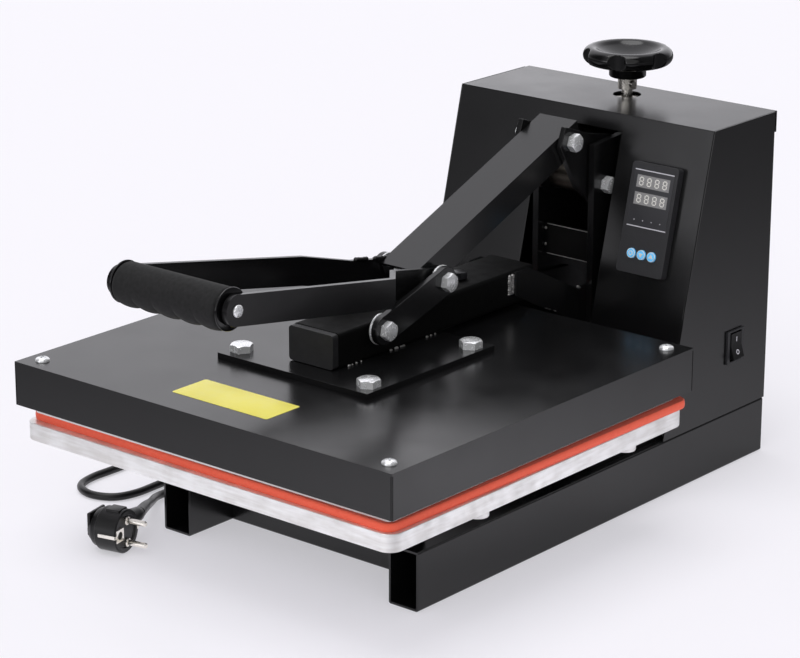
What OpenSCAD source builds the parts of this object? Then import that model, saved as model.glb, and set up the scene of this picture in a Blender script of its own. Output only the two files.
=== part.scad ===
// Clamshell heat press: a heated upper platen on a hinged arm, closed on a padded lower
// platen by a toggle of two links and a lever, with a pressure screw on top of the column.
// Millimetres, +X right, +Y to the back, +Z up, floor at z = 0.

/* [Base frame] */
// Width over the outer faces of the two side rails
base_w = 276; // [250:1:300]
// Width of the box section of the rails and cross tubes
rail_w = 30; // [24:1:36]
// Height of that box section
rail_h = 50; // [40:1:60]
// Wall of that box section
rail_wall = 2; // [1.5:0.5:3]
// Radius of its outer edges
rail_r = 2; // [1:0.5:4]
// Length of a side rail
rail_l = 483; // [460:1:520]
// Distance from the hinge axis back to the rails' rear ends
rail_back = 92; // [88:1:94]
// Distance from the rails' front ends to the front cross tube
cross_setback = 51; // [20:1:80]
// Thickness of the flat plate under the column
base_plate_t = 5; // [3:1:8]
// Length of that plate
base_plate_l = 247; // [200:1:270]
// Distance of that plate's edges inside the rails' outer faces
base_plate_in = 8; // [4:1:12]

/* [Lower platen] */
// Height of the two bearers between the rails and the lower platen
bearer_h = 34; // [24:1:44]
// Distance of the front bearer ahead of the platen's centre
bearer_fore = 72; // [60:1:90]
// Distance of the rear bearer behind the platen's centre
bearer_aft = 120; // [100:1:130]
// Distance of the platen's bolts to either side
bearer_bolt_x = 100; // [80:1:110]
// Height of the bosses between a bearer and the platen
boss_h = 11; // [4:1:16]
// Width of the lower platen
platen_w = 393; // [360:1:396]
// Depth of the lower platen
platen_d = 376; // [350:1:380]
// Thickness of the lower platen
platen_t = 15; // [10:1:24]
// Corner radius of the lower platen
platen_r = 12; // [6:1:24]
// Distance that the silicone pad's sides lie inside the platen's
pad_in = 2; // [0:0.5:20]
// Depth of the silicone pad
pad_d = 377; // [340:1:378]
// Thickness of the silicone pad
pad_t = 7; // [4:1:12]
// Distance that the loose pad lies to the right of the platen's middle
pad_dx = 1.2; // [0:0.1:2]
// Distance that it lies behind the platen's middle
pad_dy = 5.3; // [0:0.1:6]
// Angle by which it lies askew
pad_turn = -0.8; // [-1:0.1:1]

/* [Upper arm] */
// Width of the cover over the heat platen
cover_w = 400; // [390:1:430]
// Depth of the cover
cover_d = 384; // [376:1:420]
// Height of the cover
cover_h = 37; // [34:1:50]
// Thickness of the cover's sheet
cover_t = 1.5; // [1:0.5:3]
// Height of the heat platen that shows under the cover
heat_show = 6.7; // [3:0.1:10]
// Thickness of the heat platen
heat_t = 18; // [12:1:20]
// Side of the square mounting plate
plate_w = 160; // [150:1:200]
// Thickness of the mounting plate
plate_t = 5; // [3:1:10]
// Spacing of the mounting bolts across
bolt_dx = 136; // [130:1:138]
// Spacing of the mounting bolts front to back
bolt_dy = 128; // [110:1:136]
// Width of the beam's box section
beam_w = 48; // [44:1:50]
// Height of the beam's box section
beam_h = 30; // [28:1:40]
// Wall of that box section
beam_wall = 2; // [1.5:0.5:4]
// Distance of the beam's front end ahead of the cover's centre
beam_front = 56; // [40:1:90]
// Distance from the hinge axis forward to the beam's rear end
beam_reach = 100; // [96:1:106]
// Thickness of the two cheek plates between the beam and the hinge
cheek_t = 2.7; // [2:0.1:4]
// Height of a cheek plate
cheek_h = 27; // [24:1:30]
// Slope of a cheek plate
cheek_ang = 26.4; // [25:0.1:28]
// Length of a cheek plate along the beam's side
cheek_lap = 28; // [20:1:34]

/* [Hinge] */
// Distance of the hinge axis behind the middle of the press
hinge_y = 212.2; // [200:0.1:230]
// Height of the hinge axis above the pad
hinge_rise = 13; // [8:1:20]
// Distance from the cover's centre back to the hinge axis
hinge_reach = 304; // [296:1:320]
// Radius of the hinge pin
hinge_r = 8; // [6:0.5:9]
// Radius of the bush welded between the cheek plates
bush_r = 14; // [12:0.5:16]

/* [Toggle] */
// Distance of the link bolt ahead of the cover's centre
link_fore = 4; // [0:1:12]
// Depth of the link bolt under the beam's top
link_drop = 6; // [6:1:12]
// Distance between the two bolts of a link
link_l = 80.4; // [76:0.1:84]
// Slope of a closed link
link_ang = 16.6; // [15:0.1:18]
// Half width of a link, also the radius of its ends
link_r = 12.5; // [10:0.5:13]
// Thickness of a link
link_t = 5.5; // [4:0.5:8]
// Thickness of the washers that hold the links off the beam and the handle bars
washer_t = 4.3; // [3:0.1:6]
// Radius of those washers
washer_r = 13; // [11:0.5:14]
// Radius of the toggle bolts
bolt_r = 5; // [4:0.5:5]
// Distance between the knee bolt and the lever's upper bolt
lever_l = 199.2; // [190:0.1:206]
// Slope of the line between those two bolts when closed
lever_ang = 24; // [22:0.1:26]
// Width of the lever tube
lever_w = 40; // [30:1:40]
// Height of the lever tube
lever_h = 25; // [24:1:30]
// Wall of the lever tube
lever_wall = 2; // [1.5:0.5:2]
// Height of the upper bolt above the tube's axis
lever_up = 2.5; // [0:0.1:3]
// Depth of the knee bolt under the tube's axis
lever_down = 5.1; // [3:0.1:5.4]
// Length of tube beyond the upper bolt
lever_tail = 18; // [12:1:18]
// Length of tube beyond the knee bolt
lever_toe = 15; // [12:1:20]

/* [Handle] */
// Height of the flat handle bars
bar_h = 25; // [20:1:26]
// Thickness of the handle bars
bar_t = 5; // [4:0.5:6]
// Slope of the handle bars, rising towards the grip
bar_ang = 10.2; // [9:0.1:14]
// Depth of a bar's middle line under the knee bolt
bar_drop = 2.5; // [0:0.1:3]
// Distance from the knee bolt forward to the grip
grip_reach = 279.5; // [260:0.5:290]
// Distance from the knee bolt forward to the bars' rear bend
bend_rear = 55; // [52:1:62]
// Distance from the knee bolt forward to the bars' front bend
bend_front = 86; // [80:1:100]
// Distance between the bars' inner faces at the front bend
bend_gap = 92; // [84:1:100]
// Distance between the bars' inner faces at the grip
grip_gap = 114; // [100:1:124]
// Radius of the foam grip between its finger lobes
foam_r = 15.6; // [14:0.1:18]
// Radius of the finger lobes
lobe_r = 17; // [15:0.1:20]
// Distance that the lobes stand forward and down
lobe_shift = 1.6; // [0:0.1:3]
// Radius of the steel rod in the grip
rod_r = 6; // [5:0.5:8]
// Radius of the discs at the grip's ends
disc_r = 18; // [16:0.5:20]
// Thickness of those discs
disc_t = 3.5; // [2:0.5:5]

/* [Bracket and pressure screw] */
// Distance from the lever's upper bolt back to the bracket's pivot
pivot_back = 39; // [36:1:42]
// Depth of the bracket's pivot under the lever's upper bolt
pivot_drop = 44; // [40:1:48]
// Radius of the bracket's pivot bolt
pivot_r = 6; // [5:0.5:7]
// Thickness of the bracket's ears
ear_t = 5; // [4:0.5:6]
// Distance from the hinge axis back to the pressure screw
screw_back = 65; // [62:1:70]
// Radius of the pressure screw
screw_r = 5; // [4.5:0.5:6]
// Height of the nut block
nut_h = 22; // [16:1:24]
// Thickness of the bar that carries the screw
thrust_t = 12; // [8:1:12]
// Radius of the knob's round rim
knob_r = 40; // [34:1:46]
// Number of thumb grooves in that rim
knob_grooves = 6; // [5:1:8]
// Height of the knob's rim
knob_rim = 15; // [12:1:20]
// Height of the knob's hub under the rim
hub_h = 11.5; // [8:0.5:18]
// Radius of that hub
hub_r = 16.5; // [14:0.5:20]
// Height of the metal collar under the knob
collar_h = 11; // [9:0.5:16]
// Radius of that collar
collar_r = 8.5; // [8:0.5:11]

/* [Column] */
// Distance from the hinge axis forward to the foot of the leaning front
col_fore = 62; // [56:1:70]
// Lean of the column's front
lean = 13.7; // [12:0.1:14.5]
// Distance from the hinge axis back to the column's rear
col_back = 94; // [92:1:100]
// Height of the column's top above the lever's upper bolt
col_rise = 18; // [18:1:26]
// Thickness of the column's sheets
sheet_t = 1.5; // [1:0.5:2.5]
// Width of the slot in the column's front
slot_w = 86; // [80:1:100]
// Height of the slot's lower edge
slot_z0 = 100; // [80:1:110]
// Depth of the slot's upper edge under the column's top
slot_drop = 15; // [10:1:16]
// Depth of the lip at the top rear edge
lip_d = 5; // [3:1:8]
// Height of that lip
lip_h = 19; // [12:1:24]
// Thickness of the two uprights
upright_t = 6; // [5:0.5:10]
// Distance from the hinge axis forward to the uprights' front edge
upright_fore = 27; // [24:1:30]
// Depth of the uprights
upright_d = 112; // [106:1:114]
// Height of the uprights above the bracket's pivot
upright_rise = 41; // [36:1:41]
// Drop of the uprights' top at the front
upright_dip = 3; // [0:0.5:5]
// Height of the tie between the uprights
tie_h = 28; // [20:1:30]
// Height of the tie above the hinge axis
tie_rise = 48; // [48:1:54]
// Distance from the uprights' front edge back to the tie
tie_back = 10; // [10:1:16]

/* [Controls] */
// Width of the temperature controller's face
ctrl_w = 48; // [46:1:50]
// Height of that face
ctrl_h = 96; // [92:1:98]
// Distance that the face stands off the column
ctrl_proud = 8; // [5:0.5:12]
// Depth of the controller's case behind the panel
ctrl_depth = 70; // [50:1:75]
// Distance of the controller to the right of the middle
ctrl_x = 89.5; // [84:0.5:96]
// Depth of the controller's centre under the column's top
ctrl_drop = 82.4; // [76:0.2:90]
// Radius of the push buttons
button_r = 4.3; // [3:0.1:4.5]
// Spacing of the push buttons
button_dx = 10.5; // [10:0.1:12]
// Distance of the push buttons under the controller's centre
button_low = 30.7; // [28:0.1:36]
// Width of the switch bezel, front to back
switch_w = 25; // [22:0.5:30]
// Height of the switch bezel
switch_h = 30; // [29:0.5:34]
// Distance from the hinge axis back to the switch
switch_back = 42; // [36:1:50]
// Height of the switch above the floor
switch_z = 111.5; // [90:0.5:140]
// Tilt of the rocker to either side
rocker_tilt = 8; // [5:1:9]

/* [Cord and plug] */
// Radius of the mains cord
cord_r = 3.5; // [3:0.1:4]
// Radius of the plug's body
plug_r = 18.5; // [18:0.1:20]
// Length of the plug's body
plug_l = 26; // [24:1:36]
// Radius of a plug pin
pin_r = 2.4; // [2:0.1:2.4]
// Length of a plug pin
pin_l = 19; // [18:0.5:20]

/* [Fits] */
// Radial clearance of a running fit
fit = 0.05; // [0.03:0.01:0.08]
// Side clearance between parts that move past each other
gap = 0.3; // [0.3:0.1:0.4]

/* [Hidden] */
$fn = 48;

// Heights of the stack from the floor to the beam
z_platen = rail_h + bearer_h + boss_h;
z_pad = z_platen + platen_t;
pad_w = platen_w - 2 * pad_in;
z_heat = z_pad + pad_t + gap;
z_cover = z_heat + heat_show;
z_plate = z_cover + cover_h;
z_beam = z_plate + plate_t;
z_beam_top = z_beam + beam_h;

// Places along the depth of the press, all tied to the hinge
hinge = [hinge_y, z_pad + pad_t + hinge_rise];
centre_y = hinge_y - hinge_reach;
rail_y1 = hinge_y + rail_back;
rail_y0 = rail_y1 - rail_l;
base_plate_w = base_w - 2 * base_plate_in;
// Setback of the rear cross tube and the plate from the rails' rear ends
rear_in = 2;

// Toggle points in the side view
function along(a) = [cos(a), sin(a)];
function across(a) = [-sin(a), cos(a)];
pt_c = [centre_y - link_fore, z_beam_top - link_drop];
pt_b = pt_c + link_l * along(link_ang);
pt_a = pt_b + lever_l * along(lever_ang);
pt_p = pt_a + [pivot_back, -pivot_drop];
tube_ang = lever_ang - asin((lever_up + lever_down) / lever_l);
tube_0 = pt_b + lever_down * across(tube_ang);
tube_len = lever_l * cos(lever_ang - tube_ang);
grip = pt_b + [-grip_reach, grip_reach * tan(bar_ang) - bar_drop];

// Beam, cheek plates and uprights
beam_y0 = centre_y - beam_front;
beam_y1 = hinge_y - beam_reach;
beam_r = 3;
// Depth of a cheek plate's middle line under the hinge axis
cheek_low = 3.3;
cap_t = 7;
cap_plug = 8;
upright_gap = beam_w + 2 * (cheek_t + gap);
bush_w = upright_gap - 1;
ear_x = lever_w / 2 + 0.5;

// Links and bolts
washer_gap = gap - 0.1;
bar_x1 = lever_w / 2 + bar_t;
link_x = max(beam_w / 2, bar_x1) + washer_gap + washer_t;
head_af = 17;
head_h = 6.4;
nut_t = 8;
// Amount by which the straight part of a round-ended flat is narrower than its ends
neck = 0.25;

// Bracket and screw
screw_y = hinge_y + screw_back;
nut_z = pt_a[1] - 34;
upright_top = pt_p[1] + upright_rise;
col_top = pt_a[1] + col_rise;
collar_z = col_top + 5.5;
hub_z = collar_z + collar_h;
rim_z = hub_z + hub_h;
thrust_gap = 0.3;
ring_r = 11;
ring_h = 6;
screw_low = nut_z - nut_h / 2 - 14;

// Column
col_y0 = hinge_y - col_fore;
col_y1 = hinge_y + col_back;
function panel_y(z) = col_y0 + (z - rail_h) * tan(lean);
col_front_top = panel_y(col_top);
slant_t = sheet_t / cos(lean);
upright_y = hinge_y - upright_fore;
upright_x = upright_gap / 2 + upright_t;
// Length over which the uprights' top drops
dip_l = 37;
flange_w = 14;
ctrl_z = col_top - ctrl_drop;

// Controller face
win_w = 41;
win_z0 = -7.6;
win_z1 = 41.8;
win_t = 1;
button_proud = 1.2;
button_l = 5;
button_pocket = 6.5;

// Switch
switch_proud = 2;
rocker_w = 16;
rocker_l = 23.2;
rocker_pivot = 4;
rocker_gap = 0.6;
trunnion_r = 1.5;
trunnion_l = 1.6;
switch_x = base_w / 2 + switch_proud;

// Plug, lying on its side with its pins one above the other
plug_at = [-136.6, -239.9, plug_r];
plug_turn = 13;
boot_l = 40;
plug_back = 5;
gland_at = [-base_w / 2, 260, 80];
gland_l = 32;

// Route of the cord, from the gland to the plug
ROUTE = [
  [-170, 260, 80], [-192, 260, 79], [-214, 257, 70], [-235, 248, 50], [-250, 232, 27],
  [-259, 208, 10], [-263, 178, 4.5], [-264, 140, 3.6], [-264, 60, 3.5], [-264, -40, 3.5],
  [-264, -110, 3.5], [-264, -142, 3.5], [-256, -162, 3.5], [-236, -170, 3.5],
  [-216, -162, 3.5], [-208, -142, 3.5], [-208, -110, 3.5], [-208, -30, 3.5],
  [-208, 70, 3.5], [-208, 150, 3.5], [-208, 190, 3.5], [-200, 210, 3.5], [-180, 218, 3.5],
  [-160, 210, 3.5], [-152, 190, 3.5], [-152, 150, 3.5], [-152, 80, 3.5], [-154, 20, 3.5],
  [-164, -34, 3.5], [-178, -80, 3.5], [-187, -112, 3.6], [-186, -138, 5], [-173, -160, 9],
  [-159, -180, 15]
];
boot_tip = plug_at + boot_l * [-sin(plug_turn), cos(plug_turn), 0];
PATH = concat(ROUTE, [boot_tip]);
cord_sides = 10;

// Smooth points between the points of the route
function spline(a, b, c, d, t) =
  0.5 * (2 * b + (c - a) * t + (2 * a - 5 * b + 4 * c - d) * t * t
    + (3 * b - a - 3 * c + d) * t * t * t);
path_n = len(PATH);
function path_at(i) = PATH[max(0, min(path_n - 1, i))];
RINGS = concat(
  [for (i = [0 : path_n - 2], t = [0, 0.5])
    spline(path_at(i - 1), path_at(i), path_at(i + 1), path_at(i + 2), t)],
  [PATH[path_n - 1]]
);
ring_n = len(RINGS);
function unit(v) = v / norm(v);
function heading(i) =
  i == 0 ? [-1, 0, 0]
  : i == ring_n - 1 ? [sin(plug_turn), -cos(plug_turn), 0]
  : unit(RINGS[i + 1] - RINGS[i - 1]);
function side_of(i) = unit(cross(heading(i), [0, 0, 1]));
function top_of(i) = cross(side_of(i), heading(i));

black_steel = [0.06, 0.06, 0.065];
bright_steel = [0.75, 0.76, 0.78];
cast_alu = [0.72, 0.73, 0.74];
black_plastic = [0.04, 0.04, 0.045];
red_rubber = [0.85, 0.2, 0.12];

// Side view profile drawn in (y, z), from x0 over t in +X
module side(x0, t) {
  translate([x0, 0, 0]) rotate([90, 0, 90]) linear_extrude(t) children();
}

// Round bar along X at a point of the side view
module bar_x(p, r, x0, x1, n = $fn) {
  translate([x0, p[0], p[1]]) rotate([0, 90, 0]) cylinder(r = r, h = x1 - x0, $fn = n);
}

module rounded(w, h, r) {
  square([w - 2 * r, h], center = true);
  square([w, h - 2 * r], center = true);
  for (sx = [-1, 1], sy = [-1, 1])
    translate([sx * (w / 2 - r), sy * (h / 2 - r)]) circle(r);
}

module tube_section(w, h, wall, r) {
  difference() {
    rounded(w, h, r);
    square([w - 2 * wall, h - 2 * wall], center = true);
  }
}

module box_at(x0, x1, y0, y1, z0, z1) {
  translate([x0, y0, z0]) cube([x1 - x0, y1 - y0, z1 - z0]);
}

// Rounded slab, centred across and about the press's own centre
module slab(w, d, r, z0, t) {
  translate([0, centre_y, z0]) linear_extrude(t) rounded(w, d, r);
}

// Bolt across the press: a hex head on the right, a nut on the left
module cross_bolt(p, r, half, af, head, nut) {
  bar_x(p, r, -half - nut, half);
  bar_x(p, af / 2 / cos(30), half, half + head, 6);
  difference() {
    bar_x(p, af / 2 / cos(30), -half - nut + 2, -half, 6);
    bar_x(p, r, -half - nut, -half);
  }
}

module side_rail(x) {
  translate([x, rail_y1, rail_h / 2]) rotate([90, 0, 0]) linear_extrude(rail_l)
    tube_section(rail_w, rail_h, rail_wall, rail_r);
}

module left_rail() {
  color(black_steel) side_rail((rail_w - base_w) / 2);
}

module right_rail() {
  color(black_steel) side_rail((base_w - rail_w) / 2);
}

module cross_tubes() {
  span = base_w - 2 * rail_w;
  color(black_steel)
    for (y = [rail_y0 + cross_setback, rail_y1 - rail_w - rear_in])
      translate([-span / 2, y + rail_w / 2, rail_h / 2]) rotate([90, 0, 90])
        linear_extrude(span) tube_section(rail_w, rail_h, rail_wall, rail_r);
}

module base_plate() {
  color(black_steel)
    box_at(-base_plate_w / 2, base_plate_w / 2, rail_y1 - base_plate_l, rail_y1 - rear_in,
      rail_h, rail_h + base_plate_t);
}

module uprights() {
  foot = rail_h + base_plate_t;
  color(black_steel)
    difference() {
      for (s = [-1, 1])
        side(s * (upright_gap + upright_t) / 2 - upright_t / 2, upright_t)
          polygon([
            [upright_y, foot], [upright_y, upright_top - upright_dip], [upright_y + dip_l, upright_top],
            [upright_y + upright_d, upright_top], [upright_y + upright_d, foot]
          ]);
      bar_x(hinge, hinge_r, -base_w / 2, base_w / 2);
      bar_x(pt_p, pivot_r, -base_w / 2, base_w / 2);
      // Relief round the heads of the lever's upper bolt, wherever the lever's length puts it
      bar_x(pt_a, head_af / 2 / cos(30) + gap, -base_w / 2, base_w / 2);
    }
}

tie_t = 5;

module upright_tie() {
  y0 = upright_y + tie_back;
  z0 = hinge[1] + tie_rise;
  color(black_steel)
    box_at(-upright_gap / 2, upright_gap / 2, y0, y0 + tie_t, z0, z0 + tie_h);
}

module thrust_bar() {
  depth = 16;
  color(black_steel)
    difference() {
      box_at(-upright_x, upright_x, screw_y - depth, screw_y + depth, upright_top, upright_top + thrust_t);
      translate([0, screw_y, upright_top - 1]) cylinder(r = screw_r + fit, h = thrust_t + 2);
    }
}

module hinge_pin() {
  color(bright_steel)
    cross_bolt(hinge, hinge_r, upright_x, 3 * hinge_r, 10, 14);
}

module pivot_bolt() {
  color(bright_steel)
    cross_bolt(pt_p, pivot_r, upright_x, 19, 7.5, slot_w / 2 - 1 - upright_x);
}

bearer_ys = [centre_y - bearer_fore, centre_y + bearer_aft];
bolt_grip = 8;

module bearers() {
  color(black_steel)
    difference() {
      for (y = bearer_ys)
        translate([-base_w / 2, y, rail_h + bearer_h / 2]) rotate([90, 0, 90])
          linear_extrude(base_w) tube_section(rail_w, bearer_h, rail_wall, rail_r);
      for (y = bearer_ys, s = [-1, 1])
        translate([s * bearer_bolt_x, y, rail_h + bearer_h / 2]) cylinder(r = bolt_r, h = bearer_h);
    }
}

module bearer_bolts() {
  z0 = rail_h + bearer_h - rail_wall;
  color(bright_steel)
    for (y = bearer_ys, s = [-1, 1])
      translate([s * bearer_bolt_x, y, z0]) {
        cylinder(r = bolt_r, h = rail_wall + boss_h + bolt_grip);
        translate([0, 0, -head_h]) cylinder(r = head_af / 2 / cos(30), h = head_h, $fn = 6);
      }
}

module lower_platen() {
  boss_r = 14;
  lug_r = 9;
  lug_h = 6;
  lug_x = platen_w / 2 - lug_r - 3;
  z0 = rail_h + bearer_h;
  color(cast_alu)
    difference() {
      union() {
        slab(platen_w, platen_d, platen_r, z_platen, platen_t);
        for (y = bearer_ys, s = [-1, 1]) {
          translate([s * bearer_bolt_x, y, z0]) cylinder(r = boss_r, h = boss_h);
          translate([s * lug_x, y, z_platen - lug_h]) cylinder(r = lug_r, h = lug_h);
        }
      }
      for (y = bearer_ys, s = [-1, 1])
        translate([s * bearer_bolt_x, y, z0]) cylinder(r = bolt_r, h = boss_h + bolt_grip);
    }
}

module silicone_pad() {
  color(red_rubber)
    translate([pad_dx, centre_y + pad_dy, z_pad]) rotate([0, 0, pad_turn]) linear_extrude(pad_t)
      rounded(pad_w, pad_d, platen_r - 2);
}

module on_panel(x, z) {
  translate([x, panel_y(z), z]) rotate([-lean, 0, 0]) children();
}

module shroud() {
  half = base_w / 2 - sheet_t;
  foot = rail_h + base_plate_t;
  lip_y = col_y1 + lip_d;
  slot_z1 = col_top - slot_drop;
  color(black_steel)
    difference() {
      side(-half, 2 * half)
        polygon([
          [panel_y(foot), foot], [col_front_top, col_top], [lip_y, col_top],
          [lip_y, col_top - lip_h], [lip_y - sheet_t, col_top - lip_h],
          [lip_y - sheet_t, col_top - sheet_t], [col_front_top + slant_t, col_top - sheet_t],
          [panel_y(foot) + slant_t, foot]
        ]);
      box_at(-slot_w / 2, slot_w / 2, col_y0, col_front_top + slant_t, slot_z0, slot_z1);
      on_panel(ctrl_x, ctrl_z)
        cube([ctrl_w - 2.4, 4 * sheet_t, ctrl_h - 5.4], center = true);
      translate([0, screw_y, col_top - 2 * sheet_t]) cylinder(r = 12.5, h = 3 * sheet_t);
    }
}

module side_panel(x0) {
  difference() {
    side(x0, sheet_t)
      polygon([
        [col_y0, rail_h], [col_front_top, col_top], [col_y1, col_top], [col_y1, rail_h]
      ]);
    children();
  }
}

// Inward flange at the rear edge of a side panel
module rear_flange(s) {
  x1 = base_w / 2 - sheet_t;
  y1 = col_y1 - sheet_t;
  box_at(min(s * x1, s * (x1 - flange_w)), max(s * x1, s * (x1 - flange_w)),
    y1 - sheet_t, y1, rail_h + base_plate_t + 5, col_top - 10);
}

module left_panel() {
  color(black_steel) {
    side_panel(-base_w / 2)
      translate(gland_at) rotate([0, 90, 0]) cylinder(r = 8, h = 4 * sheet_t, center = true);
    rear_flange(-1);
  }
}

module right_panel() {
  x1 = base_w / 2;
  color(black_steel) {
    side_panel(x1 - sheet_t)
      translate([x1, hinge_y + switch_back, switch_z])
        cube([4 * sheet_t, switch_w - 2.4, switch_h - 2.4], center = true);
    rear_flange(1);
  }
}

vent_n = 9;
vent_dx = 14;
vent_z = 120;
vent_h = 60;

module rear_panel() {
  half = base_w / 2 - sheet_t - gap;
  color(black_steel)
    difference() {
      box_at(-half, half, col_y1 - sheet_t, col_y1, rail_h + base_plate_t, col_top - sheet_t - gap);
      for (i = [0 : vent_n - 1])
        translate([(i - (vent_n - 1) / 2) * vent_dx, col_y1, vent_z]) {
          cube([4, 4 * sheet_t, vent_h], center = true);
          for (s = [-1, 1])
            translate([0, 0, s * vent_h / 2]) rotate([90, 0, 0])
              cylinder(r = 2, h = 4 * sheet_t, center = true);
        }
    }
}

module panel_screws() {
  x = base_w / 2 - sheet_t - flange_w / 2;
  color(bright_steel)
    for (s = [-1, 1], z = [rail_h + 24, (rail_h + col_top) / 2, col_top - 34])
      translate([s * x, col_y1, z]) rotate([-90, 0, 0]) {
        cylinder(r1 = 4, r2 = 3, h = 2.2);
      }
}

module controller() {
  pocket_r = button_r + 0.4;
  color(black_plastic)
    on_panel(ctrl_x, ctrl_z)
      difference() {
        union() {
          rotate([90, 0, 0]) linear_extrude(ctrl_proud) rounded(ctrl_w, ctrl_h, 3);
          translate([-ctrl_w / 2 + 1.5, 0, -ctrl_h / 2 + 3])
            cube([ctrl_w - 3, ctrl_depth, ctrl_h - 6]);
        }
        translate([-win_w / 2, -ctrl_proud - 1, win_z0])
          cube([win_w, win_t + 1, win_z1 - win_z0]);
        for (i = [-1 : 1])
          translate([i * button_dx, button_pocket - ctrl_proud, -button_low]) rotate([90, 0, 0])
            cylinder(r = pocket_r, h = button_pocket + 1);
      }
}

module display_window() {
  color([0.1, 0.1, 0.11])
    on_panel(ctrl_x, ctrl_z)
      translate([-win_w / 2, -ctrl_proud, win_z0]) cube([win_w, win_t, win_z1 - win_z0]);
}

module push_button(i) {
  color([0.12, 0.5, 0.75])
    on_panel(ctrl_x, ctrl_z)
      translate([i * button_dx, button_l - ctrl_proud - button_proud, -button_low])
        rotate([90, 0, 0]) cylinder(r = button_r, h = button_l);
}

module set_button() {
  push_button(-1);
}

module down_button() {
  push_button(0);
}

module up_button() {
  push_button(1);
}

module at_switch() {
  translate([switch_x, hinge_y + switch_back, switch_z]) children();
}

module switch_bezel() {
  depth = 22;
  pocket = 16;
  color(black_plastic)
    at_switch()
      difference() {
        union() {
          translate([-switch_proud, -switch_w / 2, -switch_h / 2])
            cube([switch_proud, switch_w, switch_h]);
          translate([-switch_proud - depth, -switch_w / 2 + 1.5, -switch_h / 2 + 1.5])
            cube([depth, switch_w - 3, switch_h - 3]);
        }
        translate([-pocket, -rocker_w / 2 - rocker_gap, -rocker_l / 2 - 3 * rocker_gap])
          cube([pocket + 1, rocker_w + 2 * rocker_gap, rocker_l + 6 * rocker_gap]);
        translate([-rocker_pivot, 0, 0]) rotate([90, 0, 0])
          cylinder(r = trunnion_r + fit, h = rocker_w + 2 * rocker_gap + 2 * trunnion_l, center = true);
      }
}

module rocker() {
  half = rocker_l / 2;
  color(black_plastic)
    at_switch() translate([-rocker_pivot, 0, 0]) {
      rotate([90, 0, 0])
        cylinder(r = trunnion_r, h = rocker_w + 2 * rocker_gap + 2 * trunnion_l - 0.4, center = true);
      rotate([0, -rocker_tilt, 0])
        translate([0, rocker_w / 2, 0]) rotate([90, 0, 0]) linear_extrude(rocker_w)
          polygon([
            [-6, -half + 4], [rocker_pivot - 1, -half], [rocker_pivot + 2.6, -half],
            [rocker_pivot + 0.8, 0], [rocker_pivot + 2.6, half], [rocker_pivot - 1, half],
            [-6, half - 4]
          ]);
    }
}

relay_size = [45, 58, 28];
relay_x = 85;
relay_back = 10;
relay_flange = 3;

module relay() {
  flange = [relay_size[0] + 2 * relay_flange, relay_size[1] + relay_flange, relay_flange];
  color(black_plastic)
    translate([-relay_x, hinge_y + relay_back, rail_h + base_plate_t]) {
      translate([-relay_size[0] / 2, -relay_size[1] / 2, 0]) cube(relay_size);
      translate([-flange[0] / 2, -flange[1] / 2, 0]) cube(flange);
    }
}

terminal_n = 6;
terminal_dx = 11;
terminal_d = 20;
terminal_h = 18;
terminal_x = 55;
terminal_back = 20;

module terminal_block() {
  color([0.85, 0.85, 0.82])
    translate([terminal_x, hinge_y + terminal_back, rail_h + base_plate_t]) difference() {
      cube([terminal_n * terminal_dx, terminal_d, terminal_h]);
      for (i = [0 : terminal_n - 1])
        translate([(i + 0.5) * terminal_dx, terminal_d / 2, terminal_h * 2 / 3])
          cylinder(r = terminal_dx / 4, h = terminal_h);
    }
}

module cord_gland() {
  color(black_plastic)
    translate(gland_at) rotate([0, -90, 0]) {
      cylinder(r1 = 8, r2 = cord_r + 1.2, h = gland_l);
      cylinder(r = 12, h = 3, $fn = 6);
      translate([0, 0, -sheet_t]) cylinder(r = 8, h = sheet_t);
      translate([0, 0, -sheet_t - 5]) cylinder(r = 12, h = 5, $fn = 6);
    }
}

module power_cord() {
  color(black_plastic)
    polyhedron(
      points = [
        for (i = [0 : ring_n - 1], k = [0 : cord_sides - 1])
          RINGS[i] + cord_r * (cos(k * 360 / cord_sides) * side_of(i)
            + sin(k * 360 / cord_sides) * top_of(i))
      ],
      faces = concat(
        [[for (k = [0 : cord_sides - 1]) k]],
        [for (i = [0 : ring_n - 2], k = [0 : cord_sides - 1])
          let (a = i * cord_sides, m = (k + 1) % cord_sides)
          [a + k, a + k + cord_sides, a + m + cord_sides, a + m]],
        [[for (k = [cord_sides - 1 : -1 : 0]) (ring_n - 1) * cord_sides + k]]
      )
    );
}

module at_plug() {
  translate(plug_at) rotate([0, 0, plug_turn]) children();
}

module plug() {
  nose = plug_l / 2;
  color(black_plastic)
    at_plug()
      difference() {
        union() {
          translate([-nose, 0, 0]) rotate([0, 90, 0]) cylinder(r = plug_r, h = plug_l);
          translate([-nose - plug_back, 0, 0]) rotate([0, 90, 0])
            cylinder(r1 = plug_r - 7, r2 = plug_r - 2, h = plug_back);
          rotate([-90, 0, 0]) cylinder(r1 = 10, r2 = cord_r + 1.5, h = boot_l);
        }
        for (s = [-1, 1])
          translate([nose - 10, s * (plug_r + 1), 0]) cube([24, 6, 6], center = true);
      }
}

module plug_pins() {
  color(bright_steel)
    at_plug()
      for (s = [-1, 1])
        translate([plug_l / 2, 0, s * 9.5]) rotate([0, 90, 0]) {
          cylinder(r = pin_r, h = pin_l - 1.5);
          translate([0, 0, pin_l - 1.5]) cylinder(r1 = pin_r, r2 = pin_r - 1, h = 1.5);
        }
}

module at_screw(z) {
  translate([0, screw_y, z]) children();
}

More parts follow.
